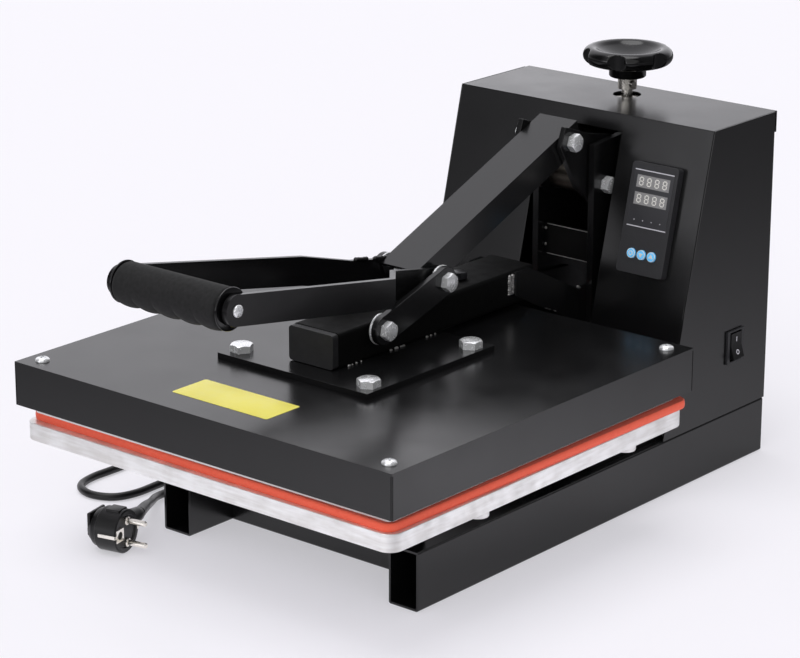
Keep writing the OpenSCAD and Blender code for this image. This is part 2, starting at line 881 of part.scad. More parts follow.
module knob() {
  edge = knob_rim / 2;
  groove_r = 9;
  groove_d = 4.5;
  color(black_plastic)
    at_screw(0)
      difference() {
        rotate_extrude() {
          translate([knob_r - edge, rim_z + edge]) circle(edge);
          translate([0, rim_z + 1]) square([knob_r - edge, knob_rim - 7]);
          translate([0, hub_z]) square([hub_r, hub_h + 2]);
        }
        for (i = [0 : knob_grooves - 1])
          rotate([0, 0, i * 360 / knob_grooves - 13.5])
            translate([knob_r + groove_r - groove_d, 0, rim_z - 1]) {
              cylinder(r = groove_r, h = edge + 1);
              translate([0, 0, edge + 1]) cylinder(r1 = groove_r, r2 = groove_r - groove_d, h = groove_d);
            }
        translate([0, 0, hub_z - 1]) cylinder(r = screw_r, h = hub_h + 5);
      }
}

module knob_collar() {
  grub_r = 3.6;
  color(bright_steel)
    at_screw(collar_z) {
      difference() {
        cylinder(r = collar_r, h = collar_h);
        translate([0, 0, -1]) cylinder(r = screw_r, h = collar_h + 2);
      }
      rotate([0, 0, -22.5]) translate([collar_r - 1, 0, collar_h / 2]) rotate([0, 90, 0])
        cylinder(r1 = grub_r, r2 = grub_r - 1, h = 4);
    }
}

module pressure_screw() {
  color(bright_steel) {
    at_screw(screw_low) cylinder(r = screw_r, h = hub_z + hub_h + 4 - screw_low);
    difference() {
      union() {
        at_screw(upright_top + thrust_t + thrust_gap) cylinder(r = ring_r, h = ring_h);
        at_screw(upright_top - thrust_gap - ring_h) cylinder(r = ring_r, h = ring_h);
      }
      at_screw(screw_low) cylinder(r = screw_r - 1, h = col_top - screw_low);
    }
  }
}

module bracket_ears() {
  nut_y = screw_y - pt_a[0];
  nut_dz = nut_z - pt_a[1];
  color(black_steel)
    difference() {
      for (s = [-1, 1])
        side(s * (ear_x + ear_t / 2) - ear_t / 2, ear_t)
          translate(pt_a)
            polygon([
              [-10, 15], [-17, -2], [8, -43], [pivot_back - 10, -pivot_drop - 16],
              [pivot_back + 8, -pivot_drop - 17], [nut_y + 14, nut_dz - 13],
              [nut_y + 14, nut_dz + 12], [nut_y / 2, -4], [25, 3]
            ]);
      bar_x(pt_a, bolt_r, -base_w / 2, base_w / 2);
      bar_x(pt_p, pivot_r + fit, -base_w / 2, base_w / 2);
    }
}

module bracket_bush() {
  color(black_steel)
    difference() {
      bar_x(pt_p, pivot_r + 5, -ear_x, ear_x);
      bar_x(pt_p, pivot_r + fit, -base_w / 2, base_w / 2);
    }
}

module pressure_nut() {
  depth = 13;
  color(bright_steel)
    difference() {
      box_at(-ear_x, ear_x, screw_y - depth, screw_y + depth, nut_z - nut_h / 2, nut_z + nut_h / 2);
      translate([0, screw_y, nut_z - nut_h]) cylinder(r = screw_r + 1.6, h = 2 * nut_h);
    }
}

module bolt_ends() {
  x1 = ear_x + ear_t;
  color(bright_steel)
    for (s = [0, 1])
      mirror([s, 0, 0]) {
        bar_x(pt_a, bolt_r, ear_x, x1 + 1);
        bar_x(pt_a, head_af / 2 / cos(30), x1, x1 + head_h, 6);
      }
}

module beam() {
  front = beam_y0 + cap_t;
  color(black_steel)
    difference() {
      translate([0, beam_y1, z_beam + beam_h / 2]) rotate([90, 0, 0]) linear_extrude(beam_y1 - front)
        tube_section(beam_w, beam_h, beam_wall, beam_r);
      bar_x(pt_c, bolt_r, -base_w / 2, base_w / 2);
      translate([0, stop_y, z_beam + beam_h / 2]) cylinder(r = stop_r, h = beam_h);
    }
}

// Side view of a cheek plate: a sloping flat, cut level with the beam, and a lug at the hinge
module cheek_profile() {
  reach = beam_reach + cheek_lap;
  intersection() {
    translate(hinge) rotate(-cheek_ang) translate([-2 * reach, -cheek_low - cheek_h / 2])
      square([2 * reach, cheek_h]);
    translate([hinge_y - reach, hinge[1] - cheek_h])
      square([reach, z_beam_top - 0.5 - hinge[1] + cheek_h]);
  }
  translate(hinge)
    polygon([[-38, 24], [-36, 30], [-22, 32], [16, 30], [28, 10], [26, -18], [3, -27], [-22, -17]]);
}

module beam_tail() {
  color(black_steel)
    difference() {
      for (s = [-1, 1])
        side(s * (beam_w + cheek_t) / 2 - cheek_t / 2, cheek_t) cheek_profile();
      bar_x(hinge, bush_r, -base_w / 2, base_w / 2);
    }
}

module beam_cap() {
  side_in = beam_wall + 0.2;
  color(black_plastic) {
    translate([0, beam_y0 + cap_t, z_beam + beam_h / 2]) rotate([90, 0, 0]) linear_extrude(cap_t)
      rounded(beam_w - 1, beam_h - 1, beam_r);
    box_at(-beam_w / 2 + side_in, beam_w / 2 - side_in, beam_y0 + cap_t, beam_y0 + cap_t + cap_plug,
      z_beam + side_in, z_beam_top - side_in);
  }
}

module hinge_bush() {
  color(black_steel)
    difference() {
      bar_x(hinge, bush_r, -bush_w / 2, bush_w / 2);
      bar_x(hinge, hinge_r + fit, -base_w / 2, base_w / 2);
    }
}

module at_bolts() {
  for (sx = [-1, 1], sy = [-1, 1])
    translate([sx * bolt_dx / 2, centre_y + sy * bolt_dy / 2, 0]) children();
}

module mounting_plate() {
  color(black_steel)
    difference() {
      translate([-plate_w / 2, centre_y - plate_w / 2, z_plate]) cube([plate_w, plate_w, plate_t]);
      at_bolts() translate([0, 0, z_plate - 1]) cylinder(r = bolt_r, h = plate_t + 2);
    }
}

washer_h = 1.6;
bolt_deep = 30;

module mounting_bolts() {
  color(bright_steel)
    at_bolts() {
      translate([0, 0, z_beam - bolt_deep]) cylinder(r = bolt_r, h = bolt_deep + 2);
      translate([0, 0, z_beam]) cylinder(r = head_af / 2 + 1.5, h = washer_h);
      rotate([0, 0, 12]) translate([0, 0, z_beam + washer_h])
        cylinder(r = head_af / 2 / cos(30), h = head_h, $fn = 6);
    }
}

corner_in = 16;
corner_r = 2.5;

module at_corners() {
  for (sx = [-1, 1], sy = [-1, 1])
    translate([sx * (cover_w / 2 - corner_in), centre_y + sy * (cover_d / 2 - corner_in), 0])
      children();
}

module cover() {
  top_in = cover_h - cover_t;
  color(black_steel)
    difference() {
      translate([-cover_w / 2, centre_y - cover_d / 2, z_cover]) cube([cover_w, cover_d, cover_h]);
      translate([-cover_w / 2 + cover_t, centre_y - cover_d / 2 + cover_t, z_cover - 1])
        cube([cover_w - 2 * cover_t, cover_d - 2 * cover_t, top_in + 1]);
      at_bolts() translate([0, 0, z_cover]) cylinder(r = bolt_r, h = 2 * cover_h);
      at_corners() translate([0, 0, z_cover]) cylinder(r = corner_r, h = 2 * cover_h);
    }
}

module cover_screws() {
  color(bright_steel)
    at_corners() {
      translate([0, 0, z_plate - 14]) cylinder(r = corner_r, h = 15);
      translate([0, 0, z_plate]) cylinder(r1 = 5, r2 = 3.4, h = 3);
    }
}

pillar_top = z_plate - cover_t;
heat_margin = 2 * cover_t + 17;

module heat_platen() {
  color(cast_alu)
    difference() {
      union() {
        slab(cover_w - 20, cover_d - 20, 5, z_heat, heat_t);
        at_bolts() translate([0, 0, z_heat + heat_t]) cylinder(r = 10, h = pillar_top - z_heat - heat_t);
        at_corners() translate([0, 0, z_heat + heat_t]) cylinder(r = 4.5, h = pillar_top - z_heat - heat_t);
      }
      at_bolts() translate([0, 0, z_beam - bolt_deep]) cylinder(r = bolt_r, h = 2 * bolt_deep);
      at_corners() translate([0, 0, z_plate - 14]) cylinder(r = corner_r, h = 2 * bolt_deep);
    }
}

heater_r = 4;
heater_bend = 40;
heater_half = 110;

module heater() {
  z = z_heat + heat_t + heater_r;
  color(bright_steel)
    translate([0, centre_y, z]) {
      for (i = [-3, -1, 1, 3])
        translate([i * heater_bend, heater_half, 0]) rotate([90, 0, 0])
          cylinder(r = heater_r, h = 2 * heater_half);
      for (s = [-1, 1]) {
        translate([2 * s * heater_bend, -heater_half, 0]) rotate([0, 0, 180])
          rotate_extrude(angle = 180) translate([heater_bend, 0]) circle(heater_r);
        translate([3 * s * heater_bend, heater_half, 0]) rotate([-90, 0, 0])
          cylinder(r = heater_r - 2, h = 30);
      }
      translate([0, heater_half, 0])
        rotate_extrude(angle = 180) translate([heater_bend, 0]) circle(heater_r);
    }
}

module insulation() {
  z0 = z_heat + heat_t + 2 * heater_r + 0.5;
  color([0.85, 0.82, 0.7])
    difference() {
      translate([-cover_w / 2 + heat_margin, centre_y - cover_d / 2 + heat_margin, z0])
        cube([cover_w - 2 * heat_margin, cover_d - 2 * heat_margin, pillar_top - z0]);
      at_bolts() translate([0, 0, z0 - 1]) cylinder(r = 11, h = cover_h);
      at_corners() translate([0, 0, z0 - 1]) cylinder(r = 6, h = cover_h);
    }
}

stop_y = centre_y + 132;
stop_r = 4;
stop_af = 13;
stop_head = 5.5;

module stop_bolt() {
  color(black_steel)
    translate([0, stop_y, z_beam_top]) {
      translate([0, 0, -3 * stop_r]) cylinder(r = stop_r, h = 3 * stop_r + stop_head / 2);
      rotate([0, 0, 20]) cylinder(r = stop_af / 2 / cos(30), h = stop_head, $fn = 6);
    }
}

module link_bolt() {
  color(bright_steel)
    cross_bolt(pt_c, bolt_r, link_x + link_t + 0.2, head_af, head_h, nut_t + 2);
}

module link_profile() {
  difference() {
    union() {
      translate(pt_c) circle(link_r);
      translate(pt_b) circle(link_r);
      translate(pt_c) rotate(link_ang) translate([0, neck - link_r])
        square([link_l, 2 * (link_r - neck)]);
    }
    translate(pt_c) circle(bolt_r + fit);
    translate(pt_b) circle(bolt_r);
  }
}

module links() {
  color(black_steel)
    for (s = [-1, 1])
      side(s * (link_x + link_t / 2) - link_t / 2, link_t) link_profile();
}

module link_washers() {
  color(bright_steel)
    for (s = [0, 1], seat = [[pt_b, bar_x1], [pt_c, beam_w / 2]])
      mirror([s, 0, 0])
        difference() {
          bar_x(seat[0], washer_r, seat[1] + washer_gap, link_x);
          bar_x(seat[0], bolt_r + fit, 0, base_w);
        }
}

module knee_bolt() {
  color(bright_steel)
    cross_bolt(pt_b, bolt_r, link_x + link_t, head_af, head_h, nut_t + 2);
}

module tube_profile(inset, over) {
  translate(tube_0) rotate(tube_ang)
    translate([-lever_toe - over, -lever_h / 2 + inset])
      square([tube_len + lever_toe + lever_tail + 2 * over, lever_h - 2 * inset]);
}

module lever_tube() {
  bush = bolt_r + 2.4;
  color(black_steel)
    difference() {
      union() {
        difference() {
          side(-lever_w / 2, lever_w) tube_profile(0, 0);
          side(-lever_w / 2 + lever_wall, lever_w - 2 * lever_wall) tube_profile(lever_wall, 1);
        }
        bar_x(pt_a, bush, -lever_w / 2, lever_w / 2);
      }
      bar_x(pt_a, bolt_r + fit, -base_w / 2, base_w / 2);
      bar_x(pt_b, bolt_r + fit, -base_w / 2, base_w / 2);
    }
}

bar_end = 18;

module bar_side() {
  translate(grip) circle(bar_h / 2);
  translate(grip) rotate(-bar_ang) translate([0, neck - bar_h / 2])
    square([(grip_reach + bar_end - bar_h / 2) / cos(bar_ang), bar_h - 2 * neck]);
  translate(grip) rotate(-bar_ang)
    translate([(grip_reach + bar_end - bar_h / 2) / cos(bar_ang), 0]) circle(bar_h / 2);
}

bar_slant = (grip_gap - bend_gap) / 2 / (grip_reach - bend_front);

// Plan of the right-hand bar: inner face as points (x, y), thickened outwards
bar_in = [
  [lever_w / 2, pt_b[0] + 2 * bar_end], [lever_w / 2, pt_b[0] - bend_rear],
  [bend_gap / 2, pt_b[0] - bend_front],
  [grip_gap / 2 + bar_slant * bar_h, grip[0] - bar_h]
];
function turn(v) = [-v[1], v[0]];
function leg(i) = unit(bar_in[i + 1] - bar_in[i]);
function joint_off(i) =
  i == 0 ? turn(leg(0))
  : i == 3 ? turn(leg(2))
  : let (m = unit(turn(leg(i - 1)) + turn(leg(i)))) m / (m * turn(leg(i)));
bar_out = [for (i = [0 : 3]) bar_in[i] + bar_t * joint_off(i)];

module handle_bars() {
  low = pt_b[1] - 2 * bar_h;
  color(black_steel)
    for (s = [0, 1])
      mirror([s, 0, 0])
        difference() {
          intersection() {
            side(0, base_w / 2) bar_side();
            translate([0, 0, low]) linear_extrude(grip[1] - low + 2 * bar_h)
              polygon(concat(bar_in, [for (i = [3 : -1 : 0]) bar_out[i]]));
          }
          bar_x(pt_b, bolt_r + fit, 0, base_w);
          bar_x(grip, screw_bore, 0, base_w);
        }
}

screw_bore = 3;
grip_half = grip_gap / 2 - disc_r * bar_slant;
pan_r = 5;

module grip_rod() {
  color(bright_steel)
    difference() {
      bar_x(grip, rod_r, -grip_half, grip_half);
      for (s = [0, 1])
        mirror([s, 0, 0]) bar_x(grip, screw_bore, grip_half - 14, grip_half + 1);
    }
}

lobe_n = 5;

module foam_grip() {
  half = grip_half - disc_t;
  pitch = 2 * half / lobe_n;
  color([0.05, 0.05, 0.05])
    difference() {
      union() {
        bar_x(grip, foam_r, -half, half);
        intersection() {
          for (i = [0 : lobe_n - 1])
            translate([(i - (lobe_n - 1) / 2) * pitch, grip[0] - lobe_shift, grip[1] - lobe_shift])
              sphere(lobe_r);
          bar_x(grip, 2 * lobe_r, -half, half);
        }
      }
      bar_x(grip, rod_r, -base_w / 2, base_w / 2);
    }
}

module grip_discs() {
  color(black_plastic)
    for (s = [0, 1])
      mirror([s, 0, 0])
        difference() {
          bar_x(grip, disc_r, grip_half - disc_t, grip_half);
          bar_x(grip, rod_r, 0, base_w);
        }
}

module grip_screws() {
  x1 = grip_gap / 2 + (bar_t + pan_r * bar_slant) * 1.01;
  color(bright_steel)
    for (s = [0, 1])
      mirror([s, 0, 0]) {
        bar_x(grip, screw_bore, grip_half - 13, x1 + 1);
        translate([x1, grip[0], grip[1]]) rotate([0, 90, 0]) cylinder(r1 = pan_r, r2 = pan_r - 1.2, h = 3);
      }
}

left_rail();
right_rail();
cross_tubes();
base_plate();
uprights();
upright_tie();
thrust_bar();
hinge_pin();
pivot_bolt();
bearers();
bearer_bolts();
lower_platen();
silicone_pad();
shroud();
left_panel();
right_panel();
rear_panel();
panel_screws();
controller();
display_window();
set_button();
down_button();
up_button();
switch_bezel();
rocker();
relay();
terminal_block();
cord_gland();
power_cord();
plug();
plug_pins();
knob();
knob_collar();
pressure_screw();
bracket_ears();
bracket_bush();
pressure_nut();
bolt_ends();
beam();
beam_tail();
beam_cap();
hinge_bush();
mounting_plate();
mounting_bolts();
cover();
cover_screws();
heat_platen();
heater();
insulation();
stop_bolt();
link_bolt();
links();
link_washers();
knee_bolt();
lever_tube();
handle_bars();
grip_rod();
foam_grip();
grip_discs();
grip_screws();
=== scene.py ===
import bmesh
import bpy
from math import ceil, cos, pi, radians, sin, sqrt, tan
from mathutils import Matrix, Vector, noise


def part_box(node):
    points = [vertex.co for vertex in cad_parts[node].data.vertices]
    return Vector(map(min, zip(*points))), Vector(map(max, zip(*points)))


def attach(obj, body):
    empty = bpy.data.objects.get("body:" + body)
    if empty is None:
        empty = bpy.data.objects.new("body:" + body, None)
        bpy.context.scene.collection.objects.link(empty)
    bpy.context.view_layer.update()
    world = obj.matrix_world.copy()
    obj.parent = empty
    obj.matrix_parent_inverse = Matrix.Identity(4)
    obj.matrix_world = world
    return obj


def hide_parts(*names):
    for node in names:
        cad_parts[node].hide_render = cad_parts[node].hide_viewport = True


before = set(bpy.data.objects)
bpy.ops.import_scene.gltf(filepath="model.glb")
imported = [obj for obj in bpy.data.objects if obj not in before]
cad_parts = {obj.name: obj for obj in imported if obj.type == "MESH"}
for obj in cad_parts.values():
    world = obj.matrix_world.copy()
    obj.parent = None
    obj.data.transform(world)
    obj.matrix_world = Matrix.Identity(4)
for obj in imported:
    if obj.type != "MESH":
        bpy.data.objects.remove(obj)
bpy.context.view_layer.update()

# Camera
# A long lens looks down on the press from its front right corner, about 2.5 m away, so that
# its parallel edges stay nearly parallel in the picture.
MM = 0.001
YAW = radians(40.02)
PITCH = radians(17.9)
ROLL = radians(0.08)
STAND = (1.4982, -1.8210, 0.9219)
lens = bpy.data.cameras.new("camera")
lens.lens = 133.06
lens.sensor_width = 36
camera = bpy.data.objects.new("camera", lens)
bpy.context.collection.objects.link(camera)
camera.matrix_world = (
    Matrix.Translation(STAND)
    @ Matrix.Rotation(YAW, 4, "Z")
    @ Matrix.Rotation(pi / 2 - PITCH, 4, "X")
    @ Matrix.Rotation(ROLL, 4, "Z")
)
bpy.context.scene.camera = camera
bpy.context.scene.view_settings.view_transform = "Standard"


# Studio
# A white paper floor that runs out of sight, under a broad soft light from straight above and a
# weaker one from the front right. Black paint mirrors the paper, a pale wall behind on the left,
# a long light panel low in front and the dark room round them.
def linear(code):
    """An sRGB hex colour as linear RGBA."""
    shares = [int(code[i:i + 2], 16) / 255 for i in (1, 3, 5)]
    return [c / 12.92 if c <= 0.04045 else ((c + 0.055) / 1.055) ** 2.4 for c in shares] + [1]


def node(tree, kind, inputs=None, **settings):
    """Add a node with its settings, and set or link its inputs."""
    made = tree.nodes.new(kind)
    for name, value in settings.items():
        setattr(made, name, value)
    for name, value in (inputs or {}).items():
        if isinstance(value, bpy.types.NodeSocket):
            tree.links.new(value, made.inputs[name])
        else:
            made.inputs[name].default_value = value
    return made


def seen_directly(tree):
    """1 where the lens, a mirror or a clear piece sees the studio, else 0, and the light path."""
    path = node(tree, "ShaderNodeLightPath").outputs
    mirrored = node(tree, "ShaderNodeMath", {
        0: path["Is Glossy Ray"], 1: path["Is Transmission Ray"],
    }, operation="MAXIMUM")
    both = node(tree, "ShaderNodeMath", {
        0: path["Is Camera Ray"], 1: mirrored.outputs[0],
    }, operation="MAXIMUM")
    return both.outputs[0], path


PAPER = "#f9f8fd"
ROOM_LEVEL = 0.5
WALL_LEVEL = 1.2
PANEL_LOW = 0.4
PANEL_RISE = 2.4
TOP_DROP = -0.8
# Parts of the room: an axis of the direction to them, where they begin and end, and their levels.
SPANS = {
    "front": ("Y", 0.1, -0.3, 0.0, 1.0), "high": ("Z", 0.08, 0.25, 0.0, 1.0),
    "right": ("X", -0.1, 0.3, 1.0, 0.15), "along": ("X", -0.66, -0.44, 0.0, 1.0),
}
world = bpy.data.worlds.new("studio")
bpy.context.scene.world = world
world.use_nodes = True
tree = world.node_tree
tree.nodes.clear()
seen, path = seen_directly(tree)
facing = node(tree, "ShaderNodeTexCoord").outputs["Generated"]
way = node(tree, "ShaderNodeSeparateXYZ", {0: facing}).outputs
span = {
    name: node(tree, "ShaderNodeMapRange", {
        "Value": way[axis], "From Min": start, "From Max": end, "To Min": low, "To Max": high,
    }).outputs[0]
    for name, (axis, start, end, low, high) in SPANS.items()
}
glare = node(tree, "ShaderNodeMath", {0: span["along"], 1: 2.0}, operation="POWER")
panel = node(tree, "ShaderNodeMath", {
    0: glare.outputs[0], 1: PANEL_RISE, 2: PANEL_LOW,
}, operation="MULTIPLY_ADD")
lit = node(tree, "ShaderNodeMix", {0: span["front"], 2: WALL_LEVEL, 3: panel.outputs[0]})
above = node(tree, "ShaderNodeMath", {0: span["front"], 1: span["high"]}, operation="MULTIPLY")
open_room = node(tree, "ShaderNodeMath", {
    0: above.outputs[0], 1: TOP_DROP, 2: 1.0,
}, operation="MULTIPLY_ADD")
walls = node(tree, "ShaderNodeMath", {0: lit.outputs[0], 1: open_room.outputs[0]}, operation="MULTIPLY")
room = node(tree, "ShaderNodeMath", {0: walls.outputs[0], 1: span["right"]}, operation="MULTIPLY")
shown = node(tree, "ShaderNodeMix", {0: path["Is Camera Ray"], 2: room.outputs[0], 3: 1.0})
backdrop = node(tree, "ShaderNodeBackground", {"Color": linear(PAPER), "Strength": shown.outputs[0]})
ambient = node(tree, "ShaderNodeBackground", {"Color": linear("#ffffff"), "Strength": ROOM_LEVEL})
mixed = node(tree, "ShaderNodeMixShader", {0: seen, 1: ambient.outputs[0], 2: backdrop.outputs[0]})
node(tree, "ShaderNodeOutputWorld", {"Surface": mixed.outputs[0]})

# Seamless paper: a matt sheet that looks a little brighter than its light alone would make it.
# Mirrored in the paint, it fades away from three pools of light beside, before and under the
# press.
PAPER_SHADE = "#bcbac0"
FLOOR_REACH = 9.0
FLOOR_DROP = 0.2
FLOOR_LIFT = 0.46
FLOOR_BOUNCE = 1.7
POOLS = (0.45, 0.06, 0), (0.1, -0.65, 0), (-0.1, -0.2, 0)
POOL_LEVEL = 1.35
POOL_FADE = 0.0925
POOL_REST = 0.14
paper = bpy.data.materials.new("seamless_paper")
paper.use_nodes = True
tree = paper.node_tree
tree.nodes.clear()
seen, path = seen_directly(tree)
place = node(tree, "ShaderNodeTexCoord").outputs["Object"]
away = [node(tree, "ShaderNodeVectorMath", {0: place, 1: at}, operation="DISTANCE").outputs["Value"]
        for at in POOLS]
nearest = away[0]
for other in away[1:]:
    nearest = node(tree, "ShaderNodeMath", {0: nearest, 1: other}, operation="MINIMUM").outputs[0]
fade = node(tree, "ShaderNodeMath", {0: POOL_FADE, 1: nearest}, operation="POWER")
pool = node(tree, "ShaderNodeMath", {
    0: fade.outputs[0], 1: POOL_LEVEL, 2: POOL_REST,
}, operation="MULTIPLY_ADD")
bounce = node(tree, "ShaderNodeMix", {0: path["Is Diffuse Ray"], 2: 1.0, 3: FLOOR_BOUNCE})
level = node(tree, "ShaderNodeMix", {0: path["Is Glossy Ray"], 2: bounce.outputs[0], 3: pool.outputs[0]})
lift = node(tree, "ShaderNodeMath", {0: seen, 1: FLOOR_LIFT}, operation="MULTIPLY")
glow_level = node(tree, "ShaderNodeMath", {0: lift.outputs[0], 1: level.outputs[0]}, operation="MULTIPLY")
shade = node(tree, "ShaderNodeVectorMath", {
    0: linear(PAPER_SHADE)[:3], "Scale": level.outputs[0],
}, operation="SCALE")
matt = node(tree, "ShaderNodeBsdfDiffuse", {"Color": shade.outputs[0]})
glow = node(tree, "ShaderNodeEmission", {"Color": linear(PAPER), "Strength": glow_level.outputs[0]})
both = node(tree, "ShaderNodeAddShader", {0: matt.outputs[0], 1: glow.outputs[0]})
node(tree, "ShaderNodeOutputMaterial", {"Surface": both.outputs[0]})
sheet = bpy.data.meshes.new("floor")
sheet.from_pydata(
    [(sx * FLOOR_REACH, sy * FLOOR_REACH, -FLOOR_DROP * MM)
     for sx, sy in ((-1, -1), (1, -1), (1, 1), (-1, 1))],
    [], [(0, 1, 2, 3)],
)
sheet.materials.append(paper)
floor = bpy.data.objects.new("floor", sheet)
bpy.context.collection.objects.link(floor)

LIGHTS = (("soft_top", (0.1, 0.1, -1), 1.25, 45), ("soft_front", (-0.4, 1, -0.6), 0.9, 75))
for name, towards, energy, spread in LIGHTS:
    lamp = bpy.data.lights.new(name, "SUN")
    lamp.energy = energy
    lamp.angle = radians(spread)
    light = bpy.data.objects.new(name, lamp)
    light.rotation_euler = Vector(towards).to_track_quat("-Z", "Y").to_euler()
    bpy.context.collection.objects.link(light)


# Mains cord
# A round three-core lead in black PVC, 7 mm across, from the gland on the left of the column
# down to the floor, back and forth beside the press and into the plug.
def grain(tree, size, detail=3.0, stretch=(1, 1, 1)):
    """Noise on the object's own coordinates, with features of a size in mm."""
    place = node(tree, "ShaderNodeTexCoord").outputs["Object"]
    spread = node(tree, "ShaderNodeMapping", {"Vector": place, "Scale": stretch})
    made = node(tree, "ShaderNodeTexNoise", {
        "Vector": spread.outputs[0], "Scale": 1 / (size * MM), "Detail": detail,
    })
    return made.outputs[0]


def material(name, values, colours, rough, relief=None):
    """A material with values on the shader's own sockets and noise in what it looks like.

    colours and rough hold the two ends that a noise moves between, and relief a depth in mm and
    a strength. The noise's size in mm follows, then its detail and stretch where they matter.
    """
    made = bpy.data.materials.new(name)
    made.use_nodes = True
    tree = made.node_tree
    shader = tree.nodes["Principled BSDF"]
    for socket, value in values.items():
        shader.inputs[socket].default_value = value
    dark, light, *spots = colours
    mix = node(tree, "ShaderNodeMixRGB", {
        "Fac": grain(tree, *spots), "Color1": linear(dark), "Color2": linear(light),
    })
    tree.links.new(mix.outputs[0], shader.inputs["Base Color"])
    low, high, *spots = rough
    spread = node(tree, "ShaderNodeMapRange", {
        "Value": grain(tree, *spots), "From Min": 0.3, "From Max": 0.7, "To Min": low, "To Max": high,
    })
    tree.links.new(spread.outputs[0], shader.inputs["Roughness"])
    if relief:
        depth, strength, *spots = relief
        bump = node(tree, "ShaderNodeBump", {
            "Height": grain(tree, *spots), "Distance": depth * MM, "Strength": strength,
        })
        tree.links.new(bump.outputs[0], shader.inputs["Normal"])
    return made


# Extruded soft PVC: an even, slightly waxy black with a low sheen and faint handling marks.
cord_pvc = material(
    "extruded_pvc", {"IOR": 1.4, "Sheen Weight": 0.02}, ("#040405", "#080809", 9),
    (0.3, 0.42, 14), (0.05, 0.3, 1.2),
)

CORD_R = 3.5
PLUG_AT = Vector((-136.6, -239.9, 18.5)) * MM
PLUG_TURN = radians(13)
BOOT_L = 40
BOOT_STEPS = 13
BOOT_SWELL = 0.5
CORD_STEPS = 6
ROUTE = [
    (-170, 260, 80), (-192, 260, 79), (-214, 257, 70), (-235, 248, 50), (-250, 232, 27),
    (-259, 208, 10), (-263, 178, 4.5), (-264, 140, 3.6), (-264, 60, 3.5), (-264, -40, 3.5),
    (-264, -110, 3.5), (-264, -142, 3.5), (-256, -162, 3.5), (-236, -170, 3.5),
    (-216, -162, 3.5), (-208, -142, 3.5), (-208, -110, 3.5), (-208, -30, 3.5),
    (-208, 70, 3.5), (-208, 150, 3.5), (-208, 190, 3.5), (-200, 210, 3.5), (-180, 218, 3.5),
    (-160, 210, 3.5), (-152, 190, 3.5), (-152, 150, 3.5), (-152, 80, 3.5), (-154, 20, 3.5),
    (-164, -34, 3.5), (-178, -80, 3.5), (-187, -112, 3.6), (-186, -138, 5), (-173, -160, 9),
    (-159, -180, 15),
]
at_plug = Matrix.Translation(PLUG_AT) @ Matrix.Rotation(PLUG_TURN, 4, "Z")
route = [Vector(p) * MM for p in ROUTE] + [at_plug @ Vector((0, BOOT_L * MM, 0))]


def smooth_route(points, steps):
    """Points of a smooth curve through the points of a route."""
    made = []
    for i in range(len(points) - 1):
        a, b, c, d = (points[max(0, min(len(points) - 1, i + k))] for k in (-1, 0, 1, 2))
        for k in range(steps):
            t = k / steps
            made.append(0.5 * (2 * b + (c - a) * t + (2 * a - 5 * b + 4 * c - d) * t ** 2
                               + (3 * b - a - 3 * c + d) * t ** 3))
    return made + [points[-1]]


cord_points = smooth_route(route, CORD_STEPS)
curve = bpy.data.curves.new("mains_cord", "CURVE")
curve.dimensions = "3D"
curve.bevel_depth = CORD_R * MM
curve.bevel_resolution = 4
curve.use_fill_caps = True
spline = curve.splines.new("POLY")
spline.points.add(len(cord_points) - 1)
for k, (point, at) in enumerate(zip(spline.points, cord_points)):
    point.co = (*at, 1)
    point.radius = 1 + BOOT_SWELL * max(0, k - len(cord_points) + 1 + BOOT_STEPS) / BOOT_STEPS
spline.use_smooth = True
curve.materials.append(cord_pvc)
mains_cord = bpy.data.objects.new("mains_cord", curve)
bpy.context.collection.objects.link(mains_cord)
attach(mains_cord, "base")
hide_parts("power_cord")


# Mains plug
# A moulded two-pin plug with an earth socket in its face and earth strips on its sides, in the
# same black PVC as the lead. It lies on its side, and a boot carries the lead out sideways.
def spin(angle, axis):
    """A turn about an axis."""
    return Matrix.Rotation(angle, 4, axis)


def shift(x, y, z):
    """A move by lengths in mm."""
    return Matrix.Translation(Vector((x, y, z)) * MM)


def lathe(bm, profile, place, turns=48, shape=None, ring=False):
    """Revolve (radius, height) points in mm about the local Z of a place.

    shape may turn an angle, radius and height into another radius and height. A ring joins the
    last point to the first.
    """
    rows = []
    for r, h in profile:
        row = []
        for k in range(turns if r else 1):
            angle = 2 * pi * k / turns
            radius, height = shape(angle, r, h) if shape else (r, h)
            spot = Vector((radius * cos(angle), radius * sin(angle), height)) * MM
            row.append(bm.verts.new(place @ spot))
        rows.append(row)
    for low, high in zip(rows, rows[1:] + rows[:1] if ring else rows[1:]):
        for k in range(turns):
            corners = [low[k % len(low)], low[(k + 1) % len(low)]]
            corners += [high[(k + 1) % len(high)], high[k % len(high)]]
            face = list(dict.fromkeys(corners))
            if len(face) > 2:
                bm.faces.new(face)


def block(bm, place, low, high, soft=0.0):
    """A box between two corners in mm, with its edges rounded by soft mm."""
    size = [(b - a) * MM for a, b in zip(low, high)]
    middle = Vector([(a + b) / 2 * MM for a, b in zip(low, high)])
    made = bmesh.ops.create_cube(bm, size=1, matrix=place @ Matrix.Translation(middle)
                                 @ Matrix.Diagonal((*size, 1)))
    if soft:
        edges = list({e for v in made["verts"] for e in v.link_edges})
        bmesh.ops.bevel(bm, geom=edges, offset=soft * MM, segments=3, profile=0.5, affect="EDGES")


def finish_piece(name, bm, finish, body, sharp=35):
    """Turn a bmesh into a piece with a finish that rides on a body."""
    bmesh.ops.recalc_face_normals(bm, faces=bm.faces)
    mesh = bpy.data.meshes.new(name)
    bm.to_mesh(mesh)
    bm.free()
    mesh.shade_smooth()
    mesh.set_sharp_from_angle(angle=radians(sharp))
    mesh.materials.append(finish)
    made = bpy.data.objects.new(name, mesh)
    bpy.context.collection.objects.link(made)
    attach(made, body)
    return made


